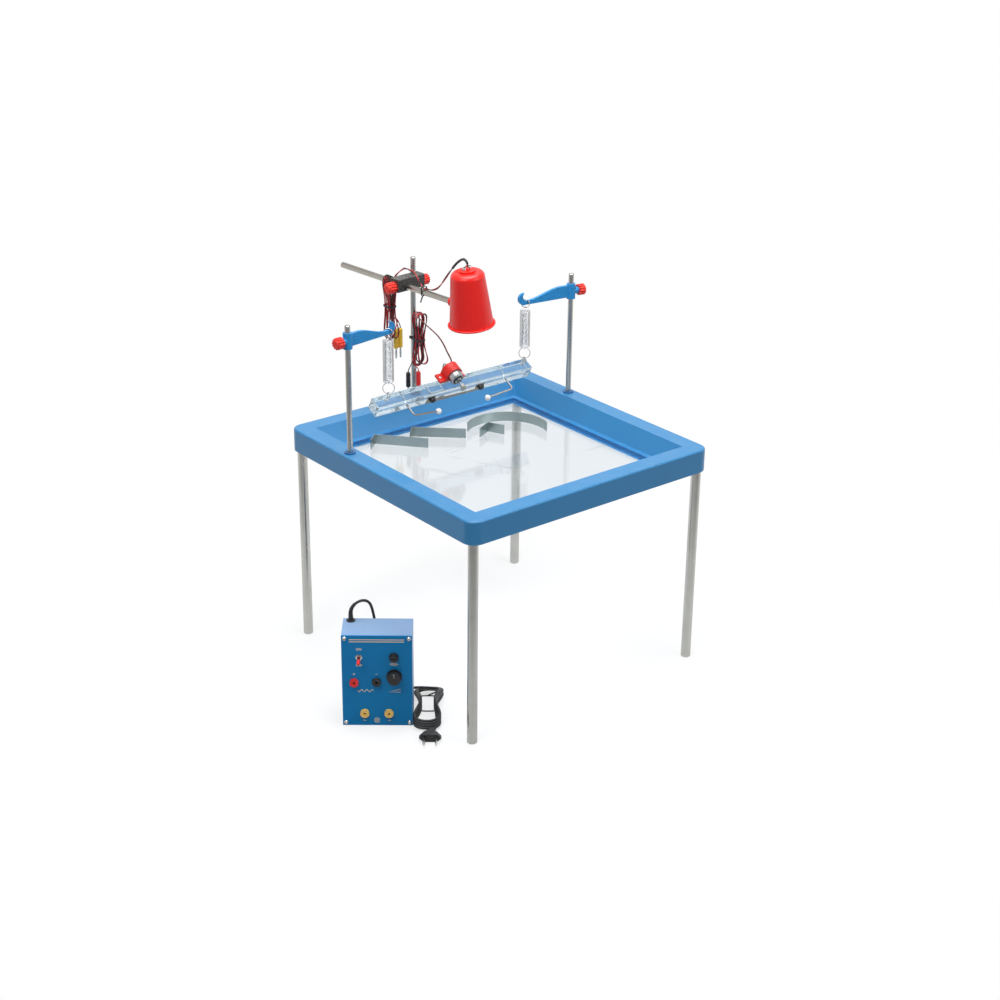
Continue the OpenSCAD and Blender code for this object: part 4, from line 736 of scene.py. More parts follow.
def mains_plug_pieces():
    """Flat two-pin plug: six-sided body that narrows to a ribbed boot, and two sleeved pins."""
    m = IN_SUPPLY @ shift(82.2, -79, 6.85)
    hexagon = np.array([[-17.6, 0], [-10.8, -6.8], [10.8, -6.8], [17.6, 0], [10.8, 6.8], [-10.8, 6.8]])
    around, rings = [], []
    for a, b in zip(hexagon, np.roll(hexagon, -1, 0)):
        around += [a + (b - a) * t for t in (0.06, 0.3, 0.5, 0.7, 0.94)]
    around = np.array(around)
    for y in np.concatenate([[0.0, 0.25, 0.7], np.linspace(1.4, 17, 53)]):
        edge = 0.955 + 0.045 * min(1, y / 0.7) ** 0.5
        waist = np.clip((y - 7) / 10, 0, 1)
        narrow = 1 - 0.52 * waist**1.5
        thin = 1 - 0.2 * waist**1.5
        rib = 1 - 0.035 * (0.5 - 0.5 * math.cos(2 * math.pi * (y - 6) / 2.2)) if y > 6 else 1.0
        x, z = around[:, 0] * edge * narrow * rib, around[:, 1] * edge * thin * rib
        rings.append(np.stack([x, np.full(len(around), y), z], 1))
    body = lofted(rings, m)
    boot = MAINS[-18:][::-1]
    along = travel(boot)
    rings_on = 0.06 * np.sign(np.sin(2 * math.pi * along / 0.0032))
    sleeve = swept(boot, round_section(1, 16), (0.0046 - 0.0019 * along / along[-1]) * (1 + rings_on))
    pins = []
    for s in (-1, 1):
        at = m @ shift(s * 9.5, 0, 0) @ turn("x", 90)
        pins.append(lathed([[0, -1], [2.0, -1], [2.0, 9], [1.9, 9.2], [0, 9.2]], at, 24) + (0,))
        tip = [[0, 8], [1.85, 8], [1.85, 17.2], [1.6, 18.4], [1.0, 18.9], [0, 19]]
        pins.append(lathed(tip, at, 24) + (1,))
    plug = piece("mains_plug_body", [body, sleeve], "supply", [M["black_plastic"]],
                 ["mains_plug"], 30)
    prongs = piece("mains_plug_pins", pins, "supply", [M["black_plastic"], M["pin_metal"]])
    return [plug, prongs]


def mains_sleeve():
    """Ribbed sleeve where the mains lead leaves the case: a tapering tube along the lead's first
    26 mm, whose radius falls evenly and drops at each groove."""
    along = travel(MAINS)
    t = np.linspace(0, along[np.searchsorted(along, 0.026)], 70)
    taper = 0.0039 - 0.0013 * t / t[-1]
    rib = 1 - 0.07 * (np.mod(t, 0.0034) > 0.0022)
    tube = swept(stretch(MAINS, t), round_section(1, 20), taper * rib)
    return piece("mains_sleeve", [tube], "supply", [M["cable_black"]], (), 30)


def supply_tie():
    """Black strip round the waist of the mains hank, with its two twisted ends."""
    way = IN_SUPPLY[:3, :3]
    thick = MAINS_STEP * (MAINS_LOOPS[1] - MAINS_LOOPS[0]) / 360
    centre = placed(IN_SUPPLY, MAINS_HANK_AT + [0, 0, thick / 2])[0] / MM
    parts = [strap(centre, way[:, 0], way[:, 2], 26.1, thick + 4.7, 3, 0.7)]
    knot = centre + way[:, 2] * (thick / 2 + 3.2)
    parts += twisted_ends(knot, way[:, 2] * 0.5 + way[:, 0], way[:, 1], 16, 0.7)
    return piece("mains_tie", parts, "supply", [M["tie_black"]])


mains_bits = mains_plug_pieces() + [mains_sleeve(), supply_tie()]

# Lamp lead: twin lead from the shade over the clamping block, hank behind it, two yellow plugs.
LAMP_JOINT = [-17.4, 168, 583.5]
LAMP_ROUTE = [
    [-14, 62, 644.5], [-14, 62, 648], [-14, 63.6, 651.4], [-14, 67, 653.8], [-14, 72, 654.2],
    [-14, 79.5, 651], [-15, 90, 642.5], [-15, 104, 628], [-16, 117, 612], [-16.5, 128, 599],
    [-16.8, 139, 590], [-16.8, 151, 585], [-17.1, 162, 583.5],
]
OVER_BOSS = [
    LAMP_JOINT, [-17.8, 172.5, 583.5], [-18, 177.5, 585.5], [-18, 182, 590], [-17.8, 187, 596],
    [-17, 196, 601], [-15.5, 211, 603], [-14, 226, 602], [-13.5, 238, 597],
]
LAMP_FREE = [
    [-20, 264.8, 519], [-16, 265.5, 512], [-10.5, 266, 507], [-5.6, 266, 503.4], [-2.4, 266, 498.6],
]
# Place of the lamp hank, its winding, and what both twin leads share: their width, the step from
# turn to turn, the loops' width and the width of a tie round the waist.
LAMP_HANK = shift(-24.8, 248, 528.9) @ turn("z", 5.2)
LAMP_LOOPS = (75, 1620)
LEAD_D = 3.2
LEAD_STEP = 3.7
LOOP_WIDTH = 18.6
TIE_WIDTH = 2 * (WAIST * LOOP_WIDTH + 2.2)
TWIN = twin_section(0.85 * MM, 0.75 * MM)
TWIN_PAINT = [0] * 9 + [1] * 9
TWIN_SHEATH = [M["cable_red"], M["cable_black"]]


def twin_lead(name, path, body, replaced, turns, first=None, ride=True):
    """Twin lead: a figure-of-eight section, one side red and one black, with a slow twist."""
    v, f = swept(path, TWIN, turns=turns, first=first)
    paint = TWIN_PAINT * (len(path) - 1) + [0, 1]
    return piece(name, [(v, f, paint)], body, TWIN_SHEATH, replaced, 70, ride)


lamp_loops = hank_loops(*LAMP_LOOPS, 110, LOOP_WIDTH, LEAD_STEP, LAMP_HANK, -1.0, (4, 0, 3))
LAMP_LEAD = smooth_curve(LAMP_ROUTE + OVER_BOSS + [list(lamp_loops[0])], 6)
LAMP_TAIL = smooth_curve([list(lamp_loops[-1])] + LAMP_FREE, 6)
LAMP = np.vstack([LAMP_LEAD, lamp_loops[1:-1], LAMP_TAIL]) * MM
LAMP = eased(LAMP, [len(LAMP_LEAD), -len(LAMP_TAIL)])
lamp_lead = twin_lead("lamp_cord", LAMP, "rod", ["lamp_lead", "lamp_hank"], 15, ride=False)
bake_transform(lamp_lead)


def yellow_pieces():
    """Two yellow plugs that hang from the lamp lead, with their cores."""
    at = [shift(-6.5, 266, 452), shift(2.5, 266, 452)]
    grips = [slim_plug(m, 34, 8) for m in at]
    pins = [spring_pin(m, 18) for m in at]
    heights = np.array([499.4, 498, 495, 492.2, 489, 484])
    ways = ([-2.9, -3.3, -4.2, -5.5, -6.5, -6.5], [-1.7, -0.9, 0.3, 1.5, 2.5, 2.5])
    cores = lead_cores([np.stack([x, 0 * heights + 266, heights], 1) for x in ways])
    parts = [g + (0,) for g in grips] + [p + (1,) for p in pins] + [cores[0] + (2,), cores[1] + (3,)]
    return piece("lamp_plugs", parts, "rod",
                 [M["plug_yellow"], M["pin_metal"]] + TWIN_SHEATH, ["yellow_plugs"])


def lamp_ties():
    """Strip round the lamp hank's waist, and the twisted tie that holds the lead on the rod."""
    way = LAMP_HANK[:3, :3]
    thick = LEAD_STEP * (LAMP_LOOPS[1] - LAMP_LOOPS[0]) / 360
    middle = placed(LAMP_HANK, [0, thick / 2, 4])[0] / MM
    parts = [strap(middle, way[:, 0], way[:, 1], TIE_WIDTH, thick + 3.8, 3, 0.7)]
    at = placed(IN_HEAD, [-22.5, -52, 1.9])[0] / MM
    parts.append(strap(at, way[:, 0], [0, 0, 1], 10.6, 14.4, 2.4, 0.8))
    down = placed(IN_HEAD, [-25.5, -52, -5.8])[0] / MM
    parts += twisted_ends(down, [-0.5, -0.1, -1], way[:, 1], 11, 0.65)
    return piece("lamp_ties", parts, "rod", [M["tie_black"]])


def terminal_wires():
    """Bare ends from the two terminals on the lamp holder into the lamp lead."""
    cap = [[0, 93], [2.8, 93], [2.8, 97.4], [2.3, 98], [1.5, 98], [1.4, 97.2], [0, 97.2]]
    # A black disc at the bottom of each cap's recess: painted shade in the recess.
    recess_shade_disc = [[0, 97.1], [1.42, 97.1], [1.42, 97.5], [0, 97.6]]
    ends, caps = [], []
    for s in (-1, 1):
        a = placed(IN_SHADE, [[s * 6, 0.5, 96.2], [s * 4.6, 1.6, 97.4]]) / MM
        route = np.vstack([a, [[-14 + 0.9 * s, 62.2, 647], [-14 + 0.75 * s, 62, 649.5]]])
        ends.append(swept(smooth_curve(route, 5) * MM, round_section(0.8 * MM, 8)) + ((s + 1) // 2,))
        m = IN_SHADE @ shift(s * 6, 0, 0)
        caps += [lathed(cap, m, 20) + (2,), lathed(recess_shade_disc, m, 16) + (0,)]
    return piece("lamp_terminals", ends + caps, "shade",
                 [M["cable_black"], M["cable_red"], M["plated_steel"]])


def lamp_sleeve():
    """Black sleeve over the first stretch of the lamp lead, with rounded ends."""
    t = np.linspace(0.004, 0.052, 40)
    ends = 1 - 0.3 * np.clip(1 - np.minimum(t - t[0], t[-1] - t) / 0.0016, 0, 1) ** 2
    tube = swept(stretch(LAMP, t), round_section(0.002, 14), ends)
    return piece("lamp_sleeve", [tube], "shade", [M["cable_black"]])


lamp_bits = [yellow_pieces(), lamp_ties(), lamp_sleeve(), terminal_wires()]

# Motor lead: from the tags at the back of the can to the post, then its own hank and plugs.
MOTOR_ROUTE = [
    [1.5, 131.6, 455.6], [3.5, 129, 459.3], [4, 126, 464], [0, 124, 473], [-6, 125, 485], [-11, 129, 499],
    [-15, 137, 510], [-16.5, 152, 517], [-16.5, 168, 521.5], [-15.5, 182, 525],
]
MOTOR_JOINT = np.array([-13.5, 191, 526.5])
MOTOR_WAY = unit(np.array([2, 6, 0.4]))
MOTOR_FREE = [[4.6, 218.4, 472], [4, 218.6, 462], [1, 218.6, 452], [-4, 218.6, 445], [-7, 218.4, 441]]
# The motor hank's winding, its tie's height, the lamp post behind it and the room between them.
MOTOR_LOOPS = (80, 1620)
MOTOR_TIE_Z = 482
POST_Y, POST_R = 225, 4.5
BEFORE_POST = 1.5
MOTOR_HANK_Y = (POST_Y - POST_R - LEAD_D / 2 - BEFORE_POST
                - LEAD_STEP * (MOTOR_LOOPS[1] - MOTOR_LOOPS[0]) / 360)

MOTOR = smooth_curve(MOTOR_ROUTE + [MOTOR_JOINT - 3 * MOTOR_WAY, MOTOR_JOINT - 0.1 * MOTOR_WAY], 6) * MM
motor_lead = twin_lead("motor_cord", MOTOR, "bar", ["motor_lead"], 0.1, (0.78, 0.62, 0), False)
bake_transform(motor_lead)


def motor_tags():
    """Bare ends from the lead to the two solder tags at the back of the can."""
    ends = []
    for s in (-1, 1):
        tag = placed(IN_MOTOR, [[s * 6, 31, -5.6], [s * 6, 34.5, -4.5], [s * 3.5, 37, 1]]) / MM
        route = np.vstack([tag, [[1.5 + 0.7 * s, 131.6, 455.6], [2.2 + 0.5 * s, 130.5, 457.2]]])
        ends.append(swept(smooth_curve(route, 5) * MM, round_section(0.75 * MM, 8)) + ((s + 1) // 2,))
    return piece("motor_tag_wires", ends, "bar", TWIN_SHEATH[::-1])


motor_wires = motor_tags()

motor_loops = hank_loops(*MOTOR_LOOPS, 91, LOOP_WIDTH, LEAD_STEP, shift(0, MOTOR_HANK_Y, MOTOR_TIE_Z),
                         -1.0, (5, 3, 1))
MOTOR_IN = smooth_curve([MOTOR_JOINT, MOTOR_JOINT + 3 * MOTOR_WAY, [-10.5, 199, 527.5],
                         [-7.5, 201.5, 527.7], motor_loops[0]], 6)
MOTOR_TAIL = smooth_curve([motor_loops[-1]] + MOTOR_FREE, 6)
MOTOR_PATH = np.vstack([MOTOR_IN, motor_loops[1:-1], MOTOR_TAIL]) * MM
MOTOR_PATH = eased(MOTOR_PATH, [len(MOTOR_IN) - 7, -len(MOTOR_TAIL)])
motor_hank = twin_lead("motor_hank_cord", MOTOR_PATH, "post", ["motor_hank"], 13)


def motor_plug_pieces():
    """Black and red plugs that hang from the motor lead, with their cores."""
    at = [shift(-21, 212, 402), shift(0, 212, 399)]
    cores = lead_cores([
        [[-7.2, 218.4, 441.4], [-8.6, 218.4, 440], [-12, 217, 437], [-18, 213, 434],
         [-20.6, 212, 431], [-21, 212, 426]],
        [[-6.8, 218.4, 441.4], [-7, 218.4, 440], [-6, 217, 437], [-2, 213, 432],
         [-0.4, 212, 428.6], [0, 212, 423]],
    ])
    parts = [slim_plug(at[0], 26, 8) + (0,), slim_plug(at[1], 26, 8) + (1,)]
    parts += [spring_pin(m, 18) + (2,) for m in at] + [cores[0] + (0,), cores[1] + (3,)]
    return piece("motor_plug_pair", parts, "post",
                 [M["socket_black"], M["socket_red"], M["pin_metal"], M["cable_red"]], ["motor_plugs"])


def motor_tie():
    """Strip that ties the motor hank to the front of the lamp post."""
    low, high = MOTOR_HANK_Y - LEAD_D / 2, POST_Y + POST_R
    middle = [0, (low + high) / 2, MOTOR_TIE_Z]
    parts = [strap(middle, [1, 0, 0], [0, 1, 0], TIE_WIDTH, high - low + 0.6, 3, 0.7)]
    parts += twisted_ends([-3, low - 1.0, MOTOR_TIE_Z], [-0.8, -0.5, -0.6], [0, 0, 1], 10, 0.65)
    return piece("motor_tie", parts, "post", [M["tie_black"]])


motor_bits = [motor_plug_pieces(), motor_tie()]

# ------------------------------------------------------------------ springs


def about_z(p, degrees):
    """Points turned about Z."""
    return p @ turn("z", degrees)[:3, :3].T


def end_arch(r, rise, a):
    """Bent end loop of a spring: half a circle r·cos s wide and rise·sin s high, that starts
    30 degrees back, where the coil ends, and swings up to the line of the middle."""
    s = np.arange(0, 151, 7.5)
    back = 30 * (1 - np.minimum(1, s / 45)) ** 2
    flat = np.stack([r * np.cos(np.radians(s)), 0 * s, rise * np.sin(np.radians(s))], 1)
    t = np.radians(a - back)
    return np.stack([flat[:, 0] * np.cos(t), flat[:, 0] * np.sin(t), flat[:, 2]], 1)


def spring_path(h, turns, low_a, top_a, top_rise, r=8.4, rise=3.6):
    """Wire of a spring: an end loop, a helix of radius r that climbs h, and the taller end loop."""
    first = low_a + 30
    sweep = 360 * turns + (top_a - 30) - first
    n = int(round(sweep / 15))
    a = np.radians(first + sweep * np.arange(n + 1) / n)
    coil = np.stack([r * np.cos(a), r * np.sin(a), h * np.arange(n + 1) / n], 1)
    low = about_z(end_arch(r, rise, 0) * [1, -1, -1], low_a)[:0:-1]
    top = end_arch(r, top_rise, top_a)[1:] + [0, 0, h]
    return np.vstack([low, coil, top])


# Where the springs hang, the lower and the upper rings' turns, and a row for each hook: side,
# name, turns of the coil, the coil's top, the upper rings' middle and the arm's heading.
HANG = np.array([138.97, 102.86])
COIL_LOW = 469.9
RING_TURN = -35
UPPER_MEAN = 7.2
UPPER_TURN = 42
HOOKS = ((-1, "left", 41, 539.0, 550.3, 9.8), (1, "right", 35, 532.4, 544.8, 170.2))
for side, name, turns, top, ring_z, arm in HOOKS:
    x, y = HANG * (side, 1)
    shape = spring_path(top - COIL_LOW, turns, 90 + RING_TURN, arm + UPPER_TURN,
                        ring_z - UPPER_MEAN + 1.3 - top)
    wire = (shape + [x, y, COIL_LOW]) * MM
    coil = piece(name + "_spring_wire", [swept(wire, round_section(0.5 * MM, 8))], "bar",
                 [M["spring_steel"]], [name + "_spring"], 80, False)
    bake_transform(coil)


def wire_ring(m, mean, r):
    """Closed round wire of radius r: a circle of radius mean in the XZ plane of frame m."""
    a = np.radians(np.arange(0, 360, 7.5))
    path = np.stack([mean * np.cos(a), 0 * a, mean * np.sin(a)], 1)
    v, f = swept(path, round_section(r, 10), closed=True, first=(0, 1, 0))
    return placed(m, v), f


def hanger_eyes():
    """Screw eyes in the bar, each with a six-sided collar, and the larger ring that hangs in each."""
    parts = []
    for s in (-1, 1):
        m = IN_BAR @ shift(s * HANG[0] + 4, 0, 11)
        parts.append(wire_ring(m @ shift(0, 0, 12.3) @ turn("z", 90), 3.6, 0.9))
        parts.append(lathed([[0, -8.5], [0.9, -8.5], [0.9, 8.6], [0, 8.8]], m, 12))
        parts.append(lathed([[0, 0], [2.7, 0], [2.7, 1.3], [2.4, 1.6], [0, 1.6]], m, 6))
        parts.append(wire_ring(shift(s * HANG[0], HANG[1], 458.55) @ turn("z", RING_TURN), 9.3, 0.65))
    return piece("hanger_eyes", parts, "bar", [M["plated_steel"]], ["beam_eyes"])


def hook_rings():
    """Split rings in the hooks, turned a little towards the front so that they hang open."""
    parts = []
    for side, _, _, _, ring_z, arm in HOOKS:
        m = shift(side * HANG[0], HANG[1], ring_z) @ turn("z", arm + 90 + UPPER_TURN)
        for off in (-0.5, 0.5):
            parts.append(wire_ring(m @ shift(0, off, 0), UPPER_MEAN, 0.5))
    return piece("hook_rings", parts, "arms", [M["plated_steel"]], ["upper_rings"])


hanger_eyes()
hook_rings()

# ------------------------------------------------------------------ supply's panel


def printed(text, size, x, y):
    """Word or number on the panel, 0.06 mm thick, centred on its place."""
    curve = bpy.data.curves.new("print_" + text, "FONT")
    curve.body, curve.size, curve.extrude = text, size, 0.03
    curve.align_x = curve.align_y = "CENTER"
    curve.resolution_u = 3
    curve.offset = 0.12
    holder = bpy.data.objects.new("print_" + text, curve)
    scene.collection.objects.link(holder)
    bpy.context.view_layer.update()
    mesh = bpy.data.meshes.new_from_object(holder)
    bpy.data.objects.remove(holder)
    v = np.array([q.co[:] for q in mesh.vertices])
    return placed(on_panel(x, y), v + [0, 0, 0.03]), [list(f.vertices) for f in mesh.polygons]


def drawn(points, x, y, closed=False, wide=0.55):
    """Thin printed line through points on the panel: a flat bar swept along them."""
    p = np.array([[a, b, 0.03] for a, b in points], float)
    section = np.array([[-wide / 2, -0.03], [wide / 2, -0.03], [wide / 2, 0.03], [-wide / 2, 0.03]])
    v, f = swept(p, section, closed=closed, first=(0, 0, 1) if closed else (0.001, 1, 0))
    return placed(on_panel(x, y), v), f


def ring_points(r, k=32):
    """Circle of k points."""
    a = 2 * math.pi * np.arange(k) / k
    return np.stack([r * np.cos(a), r * np.sin(a)], 1).tolist()


def panel_print():
    """ON and OFF at the switch, and general signs at the rest: a fuse, a rising wedge, a wave
    and a lamp, with two rules across the head of the panel."""
    wave = [[t, 2.0 * math.sin(2 * math.pi * t / 8)] for t in np.linspace(-12, 12, 61)]
    fuse = [[-4.4, 1.8], [4.4, 1.8], [4.4, -1.8], [-4.4, -1.8]]
    parts = [printed("ON", 5.4, 26.7, 23.2), printed("OFF", 5.4, 26.7, 51)]
    parts += [drawn([[-42, 0], [42, 0]], 54, y, wide=1.3) for y in (6.6, 10.2)]
    parts += [drawn([[-7, 0], [7, 0]], 80, 48.5, wide=0.8), drawn(fuse, 80, 48.5, True, 0.8)]
    parts += [drawn([[-9, -2.2], [9, -2.2], [9, 3.2]], 80.3, 95, True, 1.0)]
    parts += [drawn(wave, 36, 95, wide=1.0), printed("+", 7, 18.6, 66.5), printed("−", 7, 53, 66.5)]
    parts += [drawn(ring_points(4), 53, 147, True, 0.9)]
    parts += [drawn([[-2.8, s * -2.8], [2.8, s * 2.8]], 53, 147, wide=0.9) for s in (-1, 1)]
    parts += [printed("~", 8, 34, 147), printed("~", 8, 72, 147)]
    return piece("panel_print", parts, "supply", [M["print_amber"]], (), 40)


panel_print()


def dial_pointer():
    """White line in the knob's groove."""
    foot = ((-0.5, 2.4), (0.5, 2.4), (0.5, 9.2), (-0.5, 9.2))
    v = np.array([[x, y, z] for z in (11.9, 12.25) for x, y in foot])
    f = [[3, 2, 1, 0], [4, 5, 6, 7], [0, 1, 5, 4], [1, 2, 6, 5], [2, 3, 7, 6], [3, 0, 4, 7]]
    return piece("dial_pointer", [(placed(on_panel(80.3, 69), v), f)], "dial", [M["mark_white"]])


dial_pointer()


def toggle_tip():
    """Red sleeve pushed on the end of the switch lever."""
    r = [[0, 7.2], [2.1, 7.2], [2.35, 7.8], [2.75, 15], [2.6, 16.4], [1.9, 17.5], [0.8, 18], [0, 18.05]]
    return piece("toggle_sleeve", [lathed(r, on_panel(26.7, 36.4) @ turn("x", 12), 24)], "toggle",
                 [M["socket_red"]])


toggle_tip()

# ------------------------------------------------------------------ tray, bar and lamp details


def pane_bead():
    """Bead of sealant in the corner round the pane: a quarter-round section on a square path. Its saturated
    blue is painted shade, the band at the slope's foot in shadow.
    """
    half, z = 184.0, 344.0
    pts = []
    for cx, cy, start in ((1, 1, 0), (-1, 1, 90), (-1, -1, 180), (1, -1, 270)):
        a = np.radians(np.linspace(start, start + 90, 7))
        pts.append(np.stack([cx * (half - 3) + 3 * np.cos(a), cy * (half - 3) + 3 * np.sin(a), 0 * a + z], 1))
    path = np.vstack(pts) * MM
    section = np.array([[1.2, -0.1], [1.2, 0.35], [0.6, 0.62], [-0.4, 0.6], [-1.4, 0.3], [-2.2, -0.1]]) * MM
    bead = swept(path, section[::-1], closed=True, first=(0, 0, 1))
    return piece("pane_bead", [bead], "tank", [M["sealant"]])


pane_bead()


def saddle_screws():
    """Two cross-headed screws that hold the saddle's feet on the bar."""
    parts = []
    for s in (-1, 1):
        m = IN_MOTOR @ shift(s * 19.8, 19, 4 - 12.3)
        head = [[0, -0.6], [2.5, -0.6], [2.6, 0.4], [2.3, 1.0], [1.5, 1.5], [0.9, 1.65], [0.7, 1.1], [0, 1.0]]
        parts.append(lathed(head, m, 24))
    return piece("saddle_screws", parts, "bar", [M["plated_steel"]])


saddle_screws()


def box_edges(low, high, r):
    """The twelve edges of a box as thin round bars, just inside its faces."""
    ends = np.array([np.asarray(low, float) + r, np.asarray(high, float) - r])
    parts = []
    for axis in range(3):
        u, w = (axis + 1) % 3, (axis + 2) % 3
        for a, b in ((0, 0), (0, 1), (1, 0), (1, 1)):
            line = np.zeros((12, 3))
            line[:, axis] = np.linspace(*ends[:, axis], 12)
            line[:, u], line[:, w] = ends[a, u], ends[b, w]
            parts.append(swept(placed(IN_BAR, line), round_section(r * MM, 6)))
    return parts


def bar_edges_frost_and_highlight():
    """Pale bars along the edges of the clear bar and of the clear pad bonded on its top: partly the matt tone
    of sawn edges and partly painted highlight, the light the clear edges catch.
    """
    parts = box_edges([-157, -11, -11], [157, 11, 11], 0.5) + box_edges([-56, -11, 11], [-29, 7, 14], 0.6)
    return piece("bar_edges_frost_and_highlight", parts, "bar", [M["edge_frost"]])


def motor_face():
    """Rolled rim, dark ring and bearing on the front of the can, each turned about its axis."""
    m = IN_MOTOR @ turn("x", 90)
    rim = [[9.4, -0.4], [9.6, 0.35], [10.1, 0.5], [10.5, 0.3], [10.5, -0.4]]
    dark = [[6.2, -0.3], [6.2, 0.14], [8.8, 0.14], [8.8, -0.3]]
    washer = [[2.1, 3.9], [2.1, 4.3], [2.9, 4.45], [3.2, 4.2], [3.2, 3.9]]
    parts = []
    for number, profile in ((0, rim), (1, dark), (1, washer)):
        v, f = lathed(profile + profile[:1], m, 40)
        parts.append((v, f[:-2], number))
    return piece("motor_face", parts, "bar", [M["can_steel"], M["tie_black"]])


bar_edges_frost_and_highlight()
motor_face()


def bulb_filament():
    """Coiled filament on two stems inside the bulb."""
    t = np.linspace(0, 1, 160)
    a = 2 * math.pi * 14 * t
    coil = np.stack([-3 + 6 * t, 0.5 * np.cos(a), 54 + 0.5 * np.sin(a)], 1)
    parts = [swept(placed(IN_SHADE, coil), round_section(0.09 * MM, 5))]
    for s in (-1, 1):
        stem = smooth_curve([[s * 3, 0, 54], [s * 2.6, 0, 58], [s * 1.4, 0, 63], [s * 1.2, 0, 68]], 4)
        parts.append(swept(placed(IN_SHADE, stem), round_section(0.2 * MM, 6)))
    return piece("bulb_filament", parts, "shade", [M["filament"]], (), 80)


bulb_filament()

# ------------------------------------------------------------------ finishes of the CAD nodes


def soft_edges(obj, width, segments=2, angle=32):
    """Edges rounded by live modifiers: the loose triangles are welded, flat ones joined, edges
    sharper than the angle rounded, and the normals weighted by face."""
    weld = obj.modifiers.new("weld", "WELD")
    weld.merge_threshold = 2e-6
    flat = obj.modifiers.new("flat", "DECIMATE")
    flat.decimate_type = "DISSOLVE"
    flat.angle_limit = math.radians(0.3)
    bevel = obj.modifiers.new("edges", "BEVEL")
    bevel.width, bevel.segments = width * MM, segments
    bevel.limit_method, bevel.angle_limit = "ANGLE", math.radians(angle)
    bevel.use_clamp_overlap = True
    bevel.miter_outer = "MITER_ARC"
    normals = obj.modifiers.new("normals", "WEIGHTED_NORMAL")
    normals.mode = "FACE_AREA_WITH_ANGLE"
    normals.keep_sharp = False


# Radius of the rounded edges of the CAD nodes that get them, in millimetres.
SOFT_EDGES = {
    "tray": 0.9, "supply_case": 0.9, "supply_panel": 0.5, "boss_head": 0.7, "beam": 0.35, "glass_pane": 0.3,
    "left_arm": 0.5, "right_arm": 0.5, "long_barrier_left": 0.15, "long_barrier_right": 0.15,
    "curved_barrier": 0.15, "corner_barrier": 0.15,
}

# Each node's first material carries the name of its slot; the longest key that fits is taken.
for obj in nodes.values():
    slot = obj.data.materials[0].name if obj.data.materials else ""
    key = next((k for k in sorted(M, key=len, reverse=True) if slot.startswith(k)), None)
    if key is not None:
        for place in obj.material_slots:
            place.material = M[key]

OWN_FINISH = {
    "lamp_holder": M["holder_red"],
    "switch_body": M["plated_steel"],
    "left_dipper": M["dipper_rod"],
    "right_dipper": M["dipper_rod"],
    "lamp_rod": metal("drawn_steel_lamp_rod", srgb(176, 170, 162), 0.24, stretch=(900, 14, 900)),
}
for name, finish in OWN_FINISH.items():
    nodes[name].material_slots[0].material = finish

# ------------------------------------------------------------------ floor, light and background


# Level direction from the object towards its front left corner, where the studio is darker.
TO_FRONT = (-0.63, -0.777, 0)


def add_floor():
    """Pale floor: near the object its own lit colour plus a glow that only looking rays see, so
    that the shadow stays soft and light, and further off plain white. What surfaces mirror of
    it darkens towards the front."""
    mesh = bpy.data.meshes.new("floor")
    s = 14.0
    mesh.from_pydata([[-s, -s, 0], [s, -s, 0], [s, s, 0], [-s, s, 0]], [], [[0, 1, 2, 3]])
    floor = bpy.data.objects.new("floor", mesh)
    scene.collection.objects.link(floor)
    material, tree, shader = blank("studio_floor")
    set_plain(shader, {"Base_Color": (0.36, 0.36, 0.36, 1), "Roughness": 0.9, "Specular_IOR_Level": 0.0})
    path = node(tree, "LightPath").outputs
    at = node(tree, "TexCoord").outputs["Object"]
    front = node(tree, "VectorMath", {"operation": "DOT_PRODUCT"}, i0=at, i1=TO_FRONT).outputs["Value"]
    mirrored = math_node(tree, "MULTIPLY", path["Is Glossy Ray"], ranged(tree, front, -0.1, 0.6, 1.0, 0.4))
    seen = math_node(tree, "MAXIMUM", mirrored, math_node(tree, "MAXIMUM", path["Is Camera Ray"],
                                                         path["Is Transmission Ray"]))
    away = node(tree, "VectorMath", {"operation": "LENGTH"}, i0=at)
    looked = math_node(tree, "MAXIMUM", path["Is Glossy Ray"], seen)
    far = math_node(tree, "MULTIPLY", looked, ranged(tree, away.outputs["Value"], 0.5, 1.1))
    glow = node(tree, "Emission", Color=(1, 1, 1, 1), Strength=math_node(tree, "MULTIPLY", seen, 0.64))
    near = node(tree, "AddShader", i0=shader.outputs[0], i1=glow.outputs[0])
    white = node(tree, "Emission", Color=(1, 1, 1, 1), Strength=seen)
    both = node(tree, "MixShader", i0=far, i1=near.outputs[0], i2=white.outputs[0])
    tree.links.new(both.outputs[0], tree.nodes["Material Output"].inputs[0])
    mesh.materials.append(material)


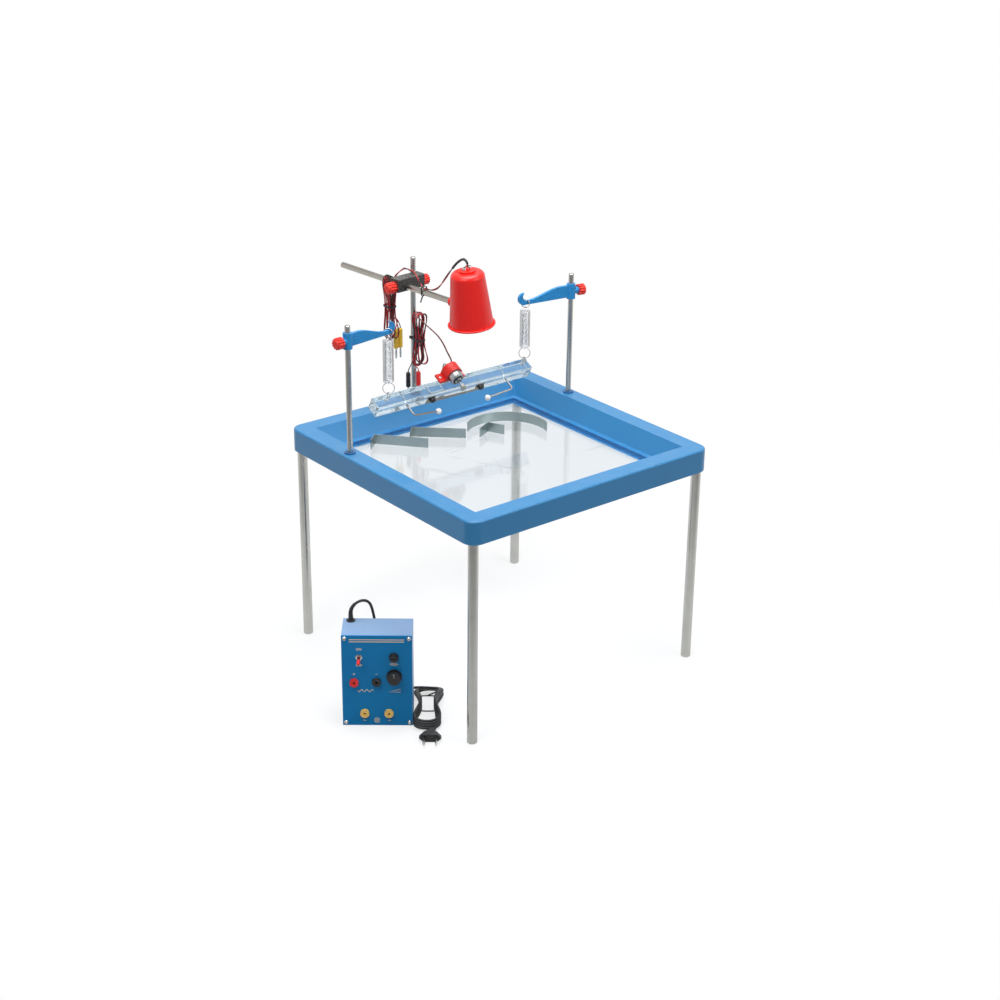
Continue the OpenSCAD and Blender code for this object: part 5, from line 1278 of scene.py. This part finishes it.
def add_world():
    """Even grey light all round. What looks straight at it or through a clear piece sees white,
    and what mirrors it sees white that falls towards the top and the front."""
    world = bpy.data.worlds.new("studio")
    scene.world = world
    world.use_nodes = True
    tree = world.node_tree
    soft = tree.nodes["Background"]
    soft.inputs["Color"].default_value = (1, 1, 1, 1)
    soft.inputs["Strength"].default_value = 0.22
    path = node(tree, "LightPath").outputs
    way = node(tree, "TexCoord").outputs["Generated"]
    front = node(tree, "VectorMath", {"operation": "DOT_PRODUCT"}, i0=way, i1=TO_FRONT).outputs["Value"]
    high = ranged(tree, node(tree, "SeparateXYZ", i0=way).outputs[2], 0.1, 0.9, 1.0, 0.62)
    shade = math_node(tree, "MULTIPLY", high, ranged(tree, front, 0.3, 0.9, 1.0, 0.4))
    mirror = node(tree, "Background", Color=(1, 1, 1, 1), Strength=shade)
    white = node(tree, "Background", Color=(1, 1, 1, 1), Strength=1.0)
    clear_way = math_node(tree, "MAXIMUM", path["Is Camera Ray"], path["Is Transmission Ray"])
    a = node(tree, "MixShader", i0=path["Is Glossy Ray"], i1=soft.outputs[0], i2=mirror.outputs[0])
    b = node(tree, "MixShader", i0=clear_way, i1=a.outputs[0], i2=white.outputs[0])
    tree.links.new(b.outputs[0], tree.nodes["World Output"].inputs[0])


def add_lamp(name, at, aim, size, power):
    """Square soft lamp at a place, facing a point."""
    data = bpy.data.lights.new(name, "AREA")
    data.energy, data.size = power, size
    lamp = bpy.data.objects.new(name, data)
    scene.collection.objects.link(lamp)
    back = unit(np.array(at, float) - np.array(aim, float))
    side = unit(np.cross([0.01, 1, 0.02], back))
    m = np.eye(4)
    m[:3, 0], m[:3, 1], m[:3, 2], m[:3, 3] = side, np.cross(back, side), back, at
    lamp.matrix_world = Matrix(m.tolist())


add_floor()
add_world()
add_lamp("key", (0.1, 0.0, 2.4), (0, 0, 0.35), 1.6, 47)
add_lamp("fill_right", (0.9, -2.2, 1.8), (0, 0, 0.35), 1.4, 17)
add_lamp("fill_left", (-1.6, -0.5, 2.2), (0, 0, 0.35), 1.4, 22)

scene.view_settings.view_transform = "Standard"

for name, width in SOFT_EDGES.items():
    soft_edges(nodes[name], width)

bpy.context.view_layer.update()
